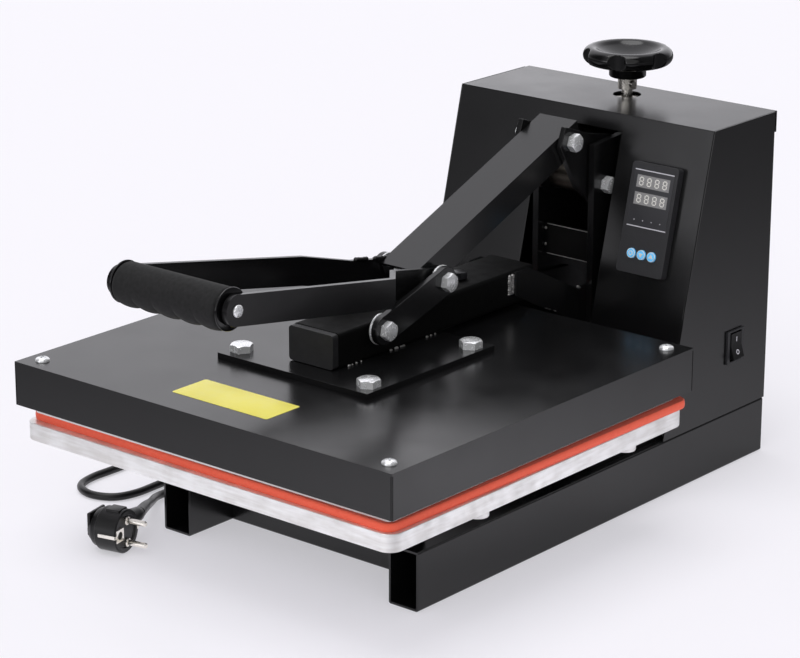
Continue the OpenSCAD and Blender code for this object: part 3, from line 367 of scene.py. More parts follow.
PLUG_R = 18.5
PLUG_L = 26
along_pins = at_plug @ spin(pi / 2, "Y")
along_boot = at_plug @ spin(-pi / 2, "X")
bm = bmesh.new()
half = PLUG_L / 2
lathe(bm, [
    (0, half - 1.2), (13.6, half - 1.2), (14.2, half), (PLUG_R - 1, half), (PLUG_R, half - 1),
    (PLUG_R, -half + 6), (PLUG_R - 0.8, -half + 5.2), (PLUG_R - 2.2, -half + 4.6),
    (PLUG_R - 2.2, -half + 1), (PLUG_R - 2.8, -half), (PLUG_R - 4, -half), (PLUG_R - 5, -half - 1),
    (PLUG_R - 6, -half - 4), (PLUG_R - 7, -half - 5), (0, -half - 5),
], along_pins, 64)
BACK = (-half - 5, -12, -5), (-half - 2, 12, 14.5)
RIDGE = (-3.2, -6.5, 15.2), (9.8, 6.5, PLUG_R + 0.6)
block(bm, at_plug, *BACK, soft=1)
block(bm, at_plug, *RIDGE, soft=0.8)
lathe(bm, [
    (0, 12), (10, 12), (10, 16.6), (9.5, 18), (8.7, 22), (7.7, 28), (6.7, 34), (6, 38.6), (5.4, BOOT_L),
    (0, BOOT_L),
], along_boot, 40)
plug_body = finish_piece("plug_body", bm, cord_pvc, "base")
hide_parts("plug")

# Nickel plate, over brass here and over steel on the pressure screw: a warm bright metal, smooth
# from stamping, with fine draw marks.
nickel = material(
    "nickel_plate", {"Metallic": 1.0}, ("#dcd8d0", "#f0ece4", 6),
    (0.16, 0.3, 2, 3, (1, 6, 6)),
)
bm = bmesh.new()
EARTH_Y = -11
EARTH_W = 5.5
EARTH_H = 5.4
EARTH_HOLE = 3.4
STRIP_L = 16.5
STRIP_HALF = 1.5
STRIP_OUT = 0.4
PIN_DX = 9.5
PIN_HOLE = 2.45
COLLAR_R = 3.75
CLIP = (half - 3, 15.2, -3.4), (half + 0.6, 18.3, 3.4)


def square_rim(angle, r, h):
    """Square off the outer edge of the earth socket's frame."""
    if r < EARTH_W:
        return r, h
    return min(EARTH_H / max(abs(cos(angle)), 1e-6), EARTH_W / max(abs(sin(angle)), 1e-6)), h


for back, inner in ((STRIP_L, 0.6 - PLUG_R), (0.6, EARTH_Y - EARTH_W + 1)):
    block(bm, at_plug, (half - back, -PLUG_R - STRIP_OUT, -STRIP_HALF),
          (half + STRIP_OUT, inner, STRIP_HALF), soft=0.3)
lathe(bm, [(EARTH_HOLE, half - 1), (EARTH_W, half - 1), (EARTH_W, half + 0.5), (EARTH_HOLE, half + 0.5)],
      along_pins @ shift(0, EARTH_Y, 0), shape=square_rim, ring=True)
block(bm, at_plug, *CLIP, soft=0.4)
for side in (-1, 1):
    collar = along_pins @ shift(side * PIN_DX, 0, 0)
    lathe(bm, [
        (PIN_HOLE, half - 4), (COLLAR_R, half - 4), (COLLAR_R, half + 1), (3.2, half + 1.6),
        (PIN_HOLE, half + 1.6),
    ], collar, 32, ring=True)
plug_clips = finish_piece("plug_clips", bm, nickel, "base")

MERGE = 0.004
FLAT_ANGLE = radians(0.4)
EDGE_ANGLE = radians(40)


def dress(names, finish, soften=0.0):
    """Give nodes of the frame a finish, and break their sharp edges by soften mm."""
    for name in names.split():
        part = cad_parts[name]
        part.data.materials.clear()
        part.data.materials.append(finish)
        if not soften:
            continue
        weld = part.modifiers.new("weld", "WELD")
        weld.merge_threshold = MERGE * MM
        flat = part.modifiers.new("flat", "DECIMATE")
        flat.decimate_type = "DISSOLVE"
        flat.angle_limit = FLAT_ANGLE
        edge = part.modifiers.new("edge", "BEVEL")
        edge.width = soften * MM
        edge.segments = 3
        edge.limit_method = "ANGLE"
        edge.angle_limit = EDGE_ANGLE
        part.modifiers.new("shade", "WEIGHTED_NORMAL")


dress("plug_pins", nickel)

# Base frame
# Two side rails and two cross tubes of 30 x 50 mm steel box section, welded, with a flat plate
# under the column, two uprights, a tie and a thrust bar. All but the tie are powder coated, and the
# tie is drawn darker still, as painted shade.

# Powder coat on steel: a deep satin black that mirrors pale surroundings softly, with the
# slight ripple of melted powder. The ripple is drawn at about 1.5 mm, coarser than the real one.
def powder_coat(name, ior=1.5):
    """The coat, as a material."""
    return material(
        name, {"IOR": ior}, ("#0b0b0c", "#101011", 35), (0.19, 0.27, 50, 5), (0.02, 0.3, 1.5, 2),
    )


paint = powder_coat("black_powder_coat")
dress("left_rail right_rail cross_tubes", paint, 0.4)
dress("base_plate thrust_bar", paint, 0.6)
dress("uprights", paint, 1.2)

# Painted shade: a darker, duller copy of the black coat, for parts that sit in shadow, such as the tie.
shaded_coat = material("black_coat_with_painted_shade", {"IOR": 1.22}, ("#050505", "#090909", 20, 4), (0.5, 0.64, 12, 4))
dress("upright_tie", shaded_coat, 0.6)

BEAD_STEP = 0.7
BEAD_TURNS = 12


def weld_and_glint_bead(bm, points, width, seed):
    """A run of weld ripples along points in mm, thinner at both ends. Thin runs also paint highlights."""
    path = [Vector(p) for p in points]
    spots = []
    for a, b in zip(path, path[1:]):
        steps = ceil((b - a).length / BEAD_STEP)
        spots += [a.lerp(b, k / steps) for k in range(steps)]
    spots.append(path[-1])
    rows = []
    travelled = 0.0
    for i, spot in enumerate(spots):
        ahead = spots[min(i + 1, len(spots) - 1)] - spots[max(i - 1, 0)]
        ahead.normalize()
        aside = ahead.orthogonal().normalized()
        third = ahead.cross(aside)
        wave = noise.noise(Vector((travelled * 0.4, seed, 0.5)))
        end = min(1.0, 0.35 + 0.5 * min(i, len(spots) - 1 - i))
        swell = width / 2 * end * (0.86 + 0.14 * abs(sin(travelled * 1.5)) + 0.22 * wave)
        rows.append([bm.verts.new((spot + swell * (cos(a) * aside + sin(a) * third)) * MM)
                     for a in [2 * pi * k / BEAD_TURNS for k in range(BEAD_TURNS)]])
        travelled += BEAD_STEP
    for low, high in zip(rows, rows[1:]):
        for k in range(BEAD_TURNS):
            n = (k + 1) % BEAD_TURNS
            bm.faces.new((low[k], low[n], high[n], high[k]))
    bm.faces.new(rows[0][::-1])
    bm.faces.new(rows[-1])


# Ground steel: bare grey metal that glints along the marks of the wheel. Here it also draws thin
# painted highlights along the tie's top and bottom edges, and two short bright marks near one end.
bare_steel_and_glint = material(
    "ground_steel_and_painted_glint", {"Metallic": 1.0}, ("#8f8d8b", "#d6d4d2", 2, 5),
    (0.3, 0.5, 0.8, 3, (1, 1, 0.2)),
)
tie_low, tie_high = (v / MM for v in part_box("upright_tie"))
bm = bmesh.new()
# Painted highlights: thin bright lines along the tie's top and bottom edges.
for z in (tie_low.z + 0.4, tie_high.z - 0.4):
    weld_and_glint_bead(bm, [(tie_low.x + 2, tie_low.y + 0.3, z), (tie_high.x - 2, tie_low.y + 0.3, z)], 0.9, z)
for z in (tie_low.z + 7, tie_high.z - 6):
    weld_and_glint_bead(bm, [(tie_low.x + 1, tie_low.y, z), (tie_low.x + 1.5, tie_low.y, z + 3)], 2.6, z)
finish_piece("tie_edges", bm, bare_steel_and_glint, "base", 60)

# Zinc-plated steel: whitish metal with a fine satin grain and duller patches from handling.
zinc = material(
    "zinc_plated_steel", {"Metallic": 0.6}, ("#eaecef", "#fbfbfc", 5),
    (0.2, 0.3, 3, 4), (0.01, 0.1, 0.8),
)
dress("hinge_pin bearer_bolts", zinc, 0.5)

# Lower platen and pad
# A cast aluminium slab on four bosses, bolted to two box-section bearers that end on top of the
# rails, with a loose sheet of red silicone sponge on top of it.
BEARER_IN = 18
BEARER_W = 30
BEARER_WALL = 2
bearers_low, bearers_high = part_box("bearers")
bm = bmesh.new()
for edge in (bearers_low.y / MM, bearers_high.y / MM - BEARER_W):
    x0, x1 = bearers_low.x / MM + BEARER_IN, bearers_high.x / MM - BEARER_IN
    z0, z1 = bearers_low.z / MM, bearers_high.z / MM
    for y0, y1, foot, top in (
        (0, BEARER_WALL, z0, z1), (BEARER_W - BEARER_WALL, BEARER_W, z0, z1),
        (BEARER_WALL, BEARER_W - BEARER_WALL, z0, z0 + BEARER_WALL),
        (BEARER_WALL, BEARER_W - BEARER_WALL, z1 - BEARER_WALL, z1),
    ):
        block(bm, Matrix.Identity(4), (x0, edge + y0, foot), (x1, edge + y1, top))
# The bearers are drawn in the darker coat, as painted shade.
bearer_tubes = finish_piece("bearer_tubes", bm, shaded_coat, "base")
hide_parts("bearers")

# Sand-cast aluminium: pale grey metal, dull from the mould, brighter where it has been rubbed.
cast = material(
    "sand_cast_aluminium", {"Metallic": 0.7}, ("#e8e6e4", "#ffffff", 3, 5, (0.12, 0.12, 1)),
    (0.34, 0.56, 9, 4), (0.12, 0.5, 1.6, 4),
)
RUBBED = 0.75, 1.2
tree = cast.node_tree
colour = tree.nodes["Principled BSDF"].inputs["Base Color"].links[0].from_node
marks = node(tree, "ShaderNodeMath", {
    0: colour.inputs["Fac"].links[0].from_socket, 1: grain(tree, 22, 4),
}, operation="ADD")
rubbed = node(tree, "ShaderNodeMapRange", {
    "Value": marks.outputs[0], "From Min": RUBBED[0], "From Max": RUBBED[1],
})
tree.links.new(rubbed.outputs[0], colour.inputs["Fac"])
dress("lower_platen", cast, 1.2)

# Silicone sponge: a matt brick red with fine closed pores, paler where it has been cut.
sponge = material("silicone_sponge", {
    "IOR": 1.41, "Subsurface Weight": 0.08, "Subsurface Scale": 2 * MM, "Sheen Weight": 0.1,
}, ("#f85a3e", "#ff7256", 3, 6), (0.62, 0.78, 6), (0.1, 0.5, 0.9, 4))


def rounded_outline(width, depth, radius, arc=8):
    """Corner points of a rounded rectangle about the origin, in mm."""
    made = []
    for quarter, (sx, sy) in enumerate(((1, 1), (-1, 1), (-1, -1), (1, -1))):
        for k in range(arc + 1):
            angle = (quarter + k / arc) * pi / 2
            made.append((sx * (width / 2 - radius) + radius * cos(angle),
                         sy * (depth / 2 - radius) + radius * sin(angle)))
    return made


def slab(bm, place, width, depth, radius, levels):
    """A rounded slab from (height, inset) levels in mm, bottom first, closed at both ends."""
    rows = []
    for height, inset in levels:
        outline = rounded_outline(width - 2 * inset, depth - 2 * inset, max(radius - inset, 0.2))
        rows.append([bm.verts.new(place @ Vector((x * MM, y * MM, height * MM))) for x, y in outline])
    for low, high in zip(rows, rows[1:]):
        for k in range(len(low)):
            n = (k + 1) % len(low)
            bm.faces.new((low[k], low[n], high[n], high[k]))
    bm.faces.new(rows[0][::-1])
    bm.faces.new(rows[-1])


def middle_of(name):
    """Middle of a node's box, and its size in mm."""
    low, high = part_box(name)
    return (low + high) / 2, (high - low) / MM


PAD_W = 389
PAD_D = 377
PAD_CORNER = 10
PAD_TURN = radians(-0.8)
pad_at, pad_size = middle_of("silicone_pad")
bm = bmesh.new()
bulge = [(-0.5, 0.9), (-0.42, 0.35), (-0.25, 0.05), (0, -0.15), (0.25, 0.05), (0.42, 0.35), (0.5, 0.9)]
slab(bm, Matrix.Translation(pad_at) @ spin(PAD_TURN, "Z"), PAD_W, PAD_D, PAD_CORNER,
     [(share * pad_size[2], inset) for share, inset in bulge])
pad_sheet = finish_piece("pad_sheet", bm, sponge, "base")
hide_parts("silicone_pad")

# Column
# A folded sheet-steel hood with side and rear panels, screwed together over the uprights. Its
# leaning front, which is slightly bowed, has a slot for the lever, and its top a hole for the
# pressure screw.
dress("left_panel right_panel rear_panel", paint, 0.5)
HOOD_BOW = 0.2
hood_paint = powder_coat("black_powder_coat_on_hood")
tree = hood_paint.node_tree
place = node(tree, "ShaderNodeTexCoord").outputs["Object"]
across = node(tree, "ShaderNodeSeparateXYZ", {0: place}).outputs["X"]
square = node(tree, "ShaderNodeMath", {0: across, 1: across}, operation="MULTIPLY")
sunk = node(tree, "ShaderNodeMath", {0: square.outputs[0], 1: -HOOD_BOW}, operation="MULTIPLY")
bowed = node(tree, "ShaderNodeBump", {"Height": sunk.outputs[0], "Distance": 1.0, "Strength": 1.0})
ripple = tree.nodes["Principled BSDF"].inputs["Normal"].links[0].from_node
tree.links.new(bowed.outputs[0], ripple.inputs["Normal"])
dress("shroud", hood_paint, 0.5)

# Cross-head screws: pressed and zinc plated, with a domed head and a cross-shaped recess.
SHANK = 0.45
CROSS_L = 0.55
CROSS_W = 0.13
CROSS_FOOT = 0.35


def cross_screw(bm, place, radius, height, shank=0.0):
    """A domed screw head with a cross recess, standing on the local XY plane, in mm."""
    scratch = bmesh.new()
    dome = [(0, -shank), (radius * SHANK, -shank), (radius * SHANK, 0)] if shank else [(0, 0)]
    dome += [(radius, 0), (radius, height * 0.25)]
    dome += [(radius * cos(a), height * (0.25 + 0.75 * sin(a))) for a in (0.35, 0.7, 1.05, 1.35)]
    lathe(scratch, dome + [(0, height)], Matrix.Identity(4), 40)
    bmesh.ops.recalc_face_normals(scratch, faces=scratch.faces)
    cutter = bmesh.new()
    for turn in (0, pi / 2):
        block(cutter, spin(turn, "Z"),
              (-radius * CROSS_L, -radius * CROSS_W, height * CROSS_FOOT),
              (radius * CROSS_L, radius * CROSS_W, height * 2))
    parts = []
    for name, source in (("head", scratch), ("cut", cutter)):
        mesh = bpy.data.meshes.new(name)
        source.to_mesh(mesh)
        source.free()
        parts.append(bpy.data.objects.new(name, mesh))
        bpy.context.collection.objects.link(parts[-1])
    recess = parts[0].modifiers.new("recess", "BOOLEAN")
    recess.object = parts[1]
    recess.operation = "DIFFERENCE"
    recess.use_self = True
    done = parts[0].evaluated_get(bpy.context.evaluated_depsgraph_get()).to_mesh()
    done.transform(place)
    bm.from_mesh(done)
    for part in parts:
        bpy.data.objects.remove(part)


SCREW_R = 4
screws_at, screws_size = middle_of("panel_screws")
bm = bmesh.new()
for sx in (-1, 1):
    for sz in (-1, 0, 1):
        spot = screws_at + Vector((sx * (screws_size[0] / 2 - SCREW_R), -screws_size[1] / 2,
                                   sz * (screws_size[2] / 2 - SCREW_R))) * MM
        turned = spin(-pi / 2, "X") @ spin(0.5 * sx + 1.3 * sz, "Z")
        cross_screw(bm, Matrix.Translation(spot) @ turned, SCREW_R, height=2.2)
panel_screws = finish_piece("panel_cross_screws", bm, zinc, "base")
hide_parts("panel_screws")

# Temperature controller
# A panel-mounted controller of 48 x 96 mm in black ABS, clipped through the column's front. Its
# face has a printed window with two rows of unlit digits, four small lamps and three keys.

# Moulded ABS: charcoal plastic with a fine spark-eroded texture, drawn here at 0.6 mm.
abs_black = material(
    "moulded_abs", {"IOR": 1.52}, ("#242427", "#2b2b2e", 8),
    (0.48, 0.6, 4), (0.03, 0.4, 0.6),
)
dress("controller switch_bezel relay", abs_black, 0.7)

# Printed polycarbonate film: smooth dark grey, a little glossier than the case round it.
film = material("printed_polycarbonate", {"IOR": 1.58}, ("#2a2a2e", "#2e2e32", 20), (0.3, 0.4, 12))
dress("display_window", film)

# Unlit display: grey resin, with milky bars where the digits would light up. The print round it
# is a thin, dull white ink.
field = material("grey_display_resin", {"IOR": 1.5}, ("#858485", "#929192", 1.5), (0.4, 0.5, 2))
bars = material("milky_display_resin", {"IOR": 1.5}, ("#dcdad5", "#eae8e3", 1), (0.4, 0.5, 2))
ink = material("white_print", {"IOR": 1.5}, ("#b9b8c0", "#d4d3da", 0.8), (0.5, 0.6, 2))

LEAN = radians(13.7)
FACE = 8.0
BUTTON_LOW = 30.7
BUTTON_FRONT = 9.2
FACE_X = 89.5
FACE_Z = 229.59
RAIL_TOP = 50
FRONT_FOOT = 150.2
face_y = FRONT_FOOT + (FACE_Z - RAIL_TOP) * tan(LEAN)
at_face = shift(FACE_X, face_y, FACE_Z) @ spin(-LEAN, "X") @ spin(pi / 2, "X")
FIELDS = ((31.7, 10.8), (16.85, 10.7))
FIELD_HALF = 17
FIELD_OUT = 0.12
bm = bmesh.new()
for middle, tall in FIELDS:
    block(bm, at_face, (-FIELD_HALF, middle - tall / 2, FACE - 0.5),
          (FIELD_HALF, middle + tall / 2, FACE + FIELD_OUT))
finish_piece("display_fields", bm, field, "base")

DIGIT_W = 4.6
DIGIT_H = 7.6
DIGIT_STEP = 8.1
DIGIT_OUT = 0.2
STROKE = 0.95
STROKE_GAP = 0.6
bm = bmesh.new()
for middle, tall in FIELDS:
    for digit in range(4):
        spot = at_face @ shift((digit - 1.5) * DIGIT_STEP, middle, FACE)
        for level in (-1, 0, 1):
            y = level * (DIGIT_H - STROKE) / 2
            block(bm, spot, (-DIGIT_W / 2 + STROKE, y - STROKE / 2, 0),
                  (DIGIT_W / 2 - STROKE, y + STROKE / 2, DIGIT_OUT))
            if level:
                for sx in (-1, 1):
                    x = sx * (DIGIT_W - STROKE) / 2
                    block(bm, spot, (x - STROKE / 2, y / 2 - DIGIT_H / 4 + STROKE * STROKE_GAP, 0),
                          (x + STROKE / 2, y / 2 + DIGIT_H / 4 - STROKE * STROKE_GAP, DIGIT_OUT))
finish_piece("display_digits", bm, bars, "base")

LINES = 41.4, -7.2
LINE_HALF = 20.3
LINE_T = 0.9
LINE_OUT = 0.08
LAMP_STEP = 9
LAMP_Y = -1.6
bm = bmesh.new()
for level in LINES:
    block(bm, at_face, (-LINE_HALF, level - LINE_T / 2, FACE - 0.3),
          (LINE_HALF, level + LINE_T / 2, FACE + LINE_OUT))
for k in range(4):
    lathe(bm, [(0, 0), (0.5, 0), (0.5, 0.1), (0, 0.12)],
          at_face @ shift((k - 1.5) * LAMP_STEP, LAMP_Y, FACE), 20)
finish_piece("face_print", bm, ink, "base")

# Buttons in pale blue polycarbonate, glossy and a little clear, with white marks. Their glow is
# painted light: an emission that lights them though no lamp is inside.
blue = material("blue_polycarbonate", {
    "IOR": 1.58, "Subsurface Weight": 0.1, "Subsurface Scale": 1 * MM,
    "Emission Color": linear("#4fb4f4"), "Emission Strength": 0.24,
}, ("#62bdf6", "#7acdfc", 5), (0.25, 0.36, 4))
dress("set_button down_button up_button", blue, 0.6)
BUTTON_DX = 10.5
for k, key in enumerate(("set", "down", "up")):
    bm = bmesh.new()
    spot = at_face @ shift((k - 1) * BUTTON_DX, -BUTTON_LOW, BUTTON_FRONT)
    if key == "set":
        lathe(bm, [(1.3, -0.2), (2.1, -0.2), (2.1, 0.3), (1.3, 0.3)], spot, 24, ring=True)
    else:
        up = 1 if key == "up" else -1
        lathe(bm, [(0, -0.2), (2.5, -0.2), (2.5, 0.3), (0, 0.3)],
              spot @ spin(up * pi / 2, "Z"), 3)
    lathe(bm, [(3.7, -0.8), (4.25, -0.8), (4.25, -0.2), (3.7, 0.05)], spot, 40, ring=True)
    finish_piece(key + "_mark", bm, bars, key + "_key")

# Rocker switch
# A snap-in mains switch in black nylon on the right of the column, with a dished rocker marked
# with a white line for on and a ring for off.

# Moulded nylon: a close black plastic with a soft satin skin from the mould.
nylon = material("moulded_nylon", {"IOR": 1.4}, ("#060607", "#0a0a0b", 6), (0.36, 0.5, 3))
dress("rocker", nylon, 0.5)
ROCKER_AT = 136, 254.2, 111.5
ROCKER_TILT = radians(8)
ROCKER_DISH = radians(8.8)
ROCKER_FACE = 4.8
MARK_DZ = 6
bm = bmesh.new()
at_rocker = shift(*ROCKER_AT) @ spin(-ROCKER_TILT, "Y")
for side in (-1, 1):
    face = (at_rocker @ shift(ROCKER_FACE, 0, 0) @ spin(side * ROCKER_DISH, "Y")
            @ shift(0, 0, side * MARK_DZ) @ spin(pi / 2, "Y"))
    if side > 0:
        block(bm, face, (-2.2, -0.45, -0.2), (2.2, 0.45, 0.12))
    else:
        lathe(bm, [(1.4, -0.2), (2.2, -0.2), (2.2, 0.12), (1.4, 0.12)], face, 32, ring=True)
finish_piece("rocker_marks", bm, ink, "switch_rocker")

# Inside the column
# A solid-state relay and a terminal block screwed to the base plate, and a nylon cord gland with
# a hex nut and a ribbed sleeve through the left panel.

# Moulded polyamide: a cream insulating plastic with a dull, even skin.
polyamide = material("moulded_polyamide", {"IOR": 1.53}, ("#d9d6cc", "#e6e3da", 10), (0.42, 0.55, 4))
dress("terminal_block", polyamide, 0.4)


def hex_head(bm, place, across, height, turns=72):
    """A forged hex head, with a 30 degree chamfer round its top face, in mm."""
    face = across * 0.475

    def shape(angle, r, h):
        if r <= face:
            return r, h
        flat = across / 2 / cos((angle + pi / 6) % (pi / 3) - pi / 6)
        return flat, h - (flat - face) * tan(pi / 6) if h else h

    lathe(bm, [(0, 0), (across, 0), (across, height), (face, height), (0, height)], place, turns, shape)


def threaded_rod(bm, place, radius, start, end, pitch):
    """A rod with thread ridges between two heights in mm, chamfered at its end."""
    profile = [(0, start), (radius, start)]
    for k in range(int((end - start) / pitch)):
        profile += [(radius, start + pitch * (k + 0.3)), (radius * 0.88, start + pitch * (k + 0.7))]
    profile += [(radius * 0.9, end - 0.4), (radius * 0.78, end), (0, end)]
    lathe(bm, profile, place, 40)


GLAND_AT = -138, 260, 80
GLAND_L = 32
GLAND_AF = 20.8
PANEL_T = 1.5
RIBS = 5
RIB_R = 7.4
RIB_STEP = 4
RIB_TAPER = 0.5
outward = shift(*GLAND_AT) @ spin(-pi / 2, "Y")
inward = outward @ shift(0, 0, -PANEL_T) @ spin(pi, "X")
bm = bmesh.new()
hex_head(bm, outward, GLAND_AF, height=4)
hex_head(bm, inward, GLAND_AF, height=5)
lathe(bm, [(0, -PANEL_T), (8, -PANEL_T), (8, 0), (0, 0)], outward)
sleeve = [(0, 3), (8.2, 3), (8.2, 6), (RIB_R, 7)]
for k in range(RIBS):
    width = RIB_R - RIB_TAPER * k
    foot = 8 + RIB_STEP * k
    sleeve += [(width, foot), (width, foot + 2), (width - 1, foot + 2.4), (width - 1, foot + 3.6)]
sleeve += [(CORD_R + 1.3, 29), (CORD_R + 1, GLAND_L), (0, GLAND_L)]
lathe(bm, sleeve, outward)
gland_body = finish_piece("gland_body", bm, nylon, "base")
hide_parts("cord_gland")

# Pressure screw and knob
# A plated steel stud through the top of the column, with a collar and its grub screw, turned by
# a round knob in glossy black phenolic with a dished top and six thumb grooves.
dress("pressure_screw knob_collar pressure_nut", nickel, 0.4)

# Phenolic moulding: jet black and glossy from the polished mould, with fine handling marks.
phenolic = material("polished_phenolic", {"IOR": 1.43}, ("#060607", "#0a0a0b", 12), (0.1, 0.18, 7, 5))
KNOB_R = 40.0
HUB_H = 11.5
RIM = 7.5
RIM_TOP = 24
DISH = 16
DISH_R = 27
GROOVE_R = 11.0
GROOVE_AT = KNOB_R + 6
GROOVE_TURN = radians(9)
SCREW_Y = 277.2
at_knob = Matrix.Translation((0, SCREW_Y * MM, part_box("knob")[0].z))


def thumb_grooves(angle, r, h):
    """Draw the rim in at six upright thumb grooves."""
    off = (angle + GROOVE_TURN + pi / 6) % (pi / 3) - pi / 6
    aside = GROOVE_AT * sin(off)
    if h < HUB_H or GROOVE_R <= abs(aside):
        return r, h
    return min(r, GROOVE_AT * cos(off) - sqrt(GROOVE_R ** 2 - aside ** 2)), h


bm = bmesh.new()
profile = [(0, 0), (15.6, 0), (16.5, 0.9), (16.5, 9.6), (17, 10.8), (18.5, 11.9), (22, 12.4), (26, 12.4)]
profile += [(KNOB_R - RIM + RIM * cos(a), HUB_H + RIM + RIM * sin(a))
            for a in [radians(-96 + 9 * k) for k in range(25)]]
profile += [(r, DISH + (RIM_TOP - DISH) * (r / DISH_R) ** 2)
            for r in (DISH_R, 25, 22.5, 20, 17, 14, 11, 8, 5, 2.5, 0)]
lathe(bm, profile, at_knob, 288, thumb_grooves)
knob_body = finish_piece("knob_body", bm, phenolic, "screw", 50)
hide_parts("knob")

# Bracket
# Two flat ears welded to a bush and a nut block. It rocks on a bolt through the uprights, and
# the screw tips it to set the pressure. The bush between the ears is left as bare steel.
dress("bracket_ears", paint, 1.2)

# Bare mild steel: grey metal with turning marks and a faint brown film of oil.
steel = material(
    "turned_mild_steel", {"Metallic": 1.0}, ("#45413c", "#5e5953", 4, 5),
    (0.38, 0.55, 1, 3, (0.2, 3, 3)),
)
dress("bracket_bush", steel, 0.5)

HEAD = 6.4
NUT = 8
BOLT_AF = 14
NUT_IN = 2
PITCH_M10 = 1.5


def cross_bolt(name, radius, across, head, nut, body):
    """A hex bolt along X in a node's box, with its head on the right and a nut on the left."""
    low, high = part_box(name)
    y, z = (low.y + high.y) / 2, (low.z + high.z) / 2
    right = Matrix.Translation((high.x - head * MM, y, z)) @ spin(pi / 2, "Y")
    left = Matrix.Translation((low.x, y, z)) @ spin(-pi / 2, "Y")
    bm = bmesh.new()
    hex_head(bm, right @ spin(0.35, "Z"), across, head)
    hex_head(bm, left @ shift(0, 0, -nut - NUT_IN), across, nut)
    span = (high.x - low.x) / MM
    threaded_rod(bm, left, radius, -span + head, 0, PITCH_M10)
    made = finish_piece(name + "_body", bm, zinc, body)
    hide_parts(name)


cross_bolt("pivot_bolt", radius=6, across=13, head=7.5, nut=7, body="base")
ends_at, ends_size = middle_of("bolt_ends")
bm = bmesh.new()
for sx in (-1, 1):
    out = (Matrix.Translation((sx * (ends_size[0] / 2 - HEAD) * MM, ends_at.y, ends_at.z))
           @ spin(sx * pi / 2, "Y"))
    hex_head(bm, out @ spin(0.2, "Z"), BOLT_AF, HEAD)
    lathe(bm, [(0, -5), (5, -5), (5, 0), (0, 0)], out)
bolt_ends = finish_piece("upper_bolt", bm, zinc, "bracket")
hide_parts("bolt_ends")

# Upper arm
# A beam of 48 x 30 mm box section with a plate welded to either side of its rear end. The plates
# carry the hinge bush. The beam has a plastic end cap in front and a stop bolt on top.
# The beam is drawn in the darker coat, as painted shade.
dress("beam", shaded_coat, 0.6)
dress("beam_tail hinge_bush", paint, 0.6)

# Polyethylene cap: soft black plastic with a dull, faintly mottled skin.
poly = material(
    "moulded_polyethylene", {"IOR": 1.51}, ("#151517", "#1e1e20", 9, 4),
    (0.42, 0.6, 6), (0.08, 0.4, 2.5, 4),
)
dress("beam_cap", poly, 1.6)

# Black oxide on the stop bolt: a dark oily steel with a dull grey gleam.
oxide = material("black_oxide_steel", {"Metallic": 0.7}, ("#2b2b2d", "#454548", 3), (0.3, 0.42, 2))
stop_at = middle_of("stop_bolt")[0]
stop_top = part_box("stop_bolt")[1].z
STOP_HEAD = 5.5
bm = bmesh.new()
head_up = Matrix.Translation((stop_at.x, stop_at.y, stop_top - STOP_HEAD * MM))
hex_head(bm, head_up @ spin(radians(50), "Z"), across=13, height=STOP_HEAD)
threaded_rod(bm, head_up @ spin(pi, "X"), radius=4, start=-2, end=12, pitch=1.25)
stop_body = finish_piece("stop_bolt_body", bm, oxide, "arm")
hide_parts("stop_bolt")

beam_low, beam_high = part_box("beam")
BEAM_X = beam_high.x / MM
BEAM_FOOT = beam_low.z / MM
BEAM_TOP = beam_high.z / MM
CHEEK_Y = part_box("beam_tail")[0].y / MM
CHEEK_FOOT = 175.5
bm = bmesh.new()
for sx in (-1, 1):
    weld_and_glint_bead(bm, [(sx * (BEAM_X + 0.4), CHEEK_Y + 34, BEAM_FOOT + 1.5),
                   (sx * (BEAM_X + 0.4), CHEEK_Y + 14, BEAM_FOOT + 4)], 3, 5 + sx)
# The welds under the beam are drawn in the darker coat, as painted shade.
finish_piece("arm_welds", bm, shaded_coat, "arm", 60)

# The welds at the front of the two plates are dressed back to bright bare metal, bright strips on
# the plates' edges paint highlights, and bright crumbs of weld are left along the foot of the beam.
SPATTER = ((-131, 3.5, 2.6), (-126, 1.5, 1.6), (-121.5, 2.5, 1.8), (-115.5, 1.2, 2.4), (-79, 3, 1.8),
           (-73, 4.5, 2.8), (-66, 6, 1.8), (-33, 3, 2.2), (-27.5, 2.5, 1.6), (-22, 2, 1.8))
CHEEK_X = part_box("beam_tail")[1].x / MM
# Painted glints on the plates' edges: two ends as (y, z), how deep in the plate, the width and the seed.
EDGE_GLINTS = (((126, 154.6), (143, 146.8), 0.8, 1.8, 3), ((173.5, 162.3), (183.5, 156.3), 1.1, 2.2, 6))
bm = bmesh.new()
for sx in (-1, 1):
    for back in (0.5, 4.5):
        weld_and_glint_bead(bm, [(sx * (BEAM_X - 1), CHEEK_Y - back, CHEEK_FOOT),
                       (sx * (BEAM_X - 1), CHEEK_Y - back, BEAM_TOP - 2)], 5.5, 9 + sx + back)
    for start, end, sunk, width, seed in EDGE_GLINTS:
        x = sx * (CHEEK_X - sunk)
        weld_and_glint_bead(bm, [(x, *start), (x, *end)], width, seed + sx)
    for y, length, width in SPATTER:
        weld_and_glint_bead(bm, [(sx * (BEAM_X + 0.5), y, BEAM_FOOT + 0.6),
                       (sx * (BEAM_X + 0.8), y + length, BEAM_FOOT + 0.4)], width, y)
finish_piece("ground_welds_and_glints", bm, bare_steel_and_glint, "arm", 60)

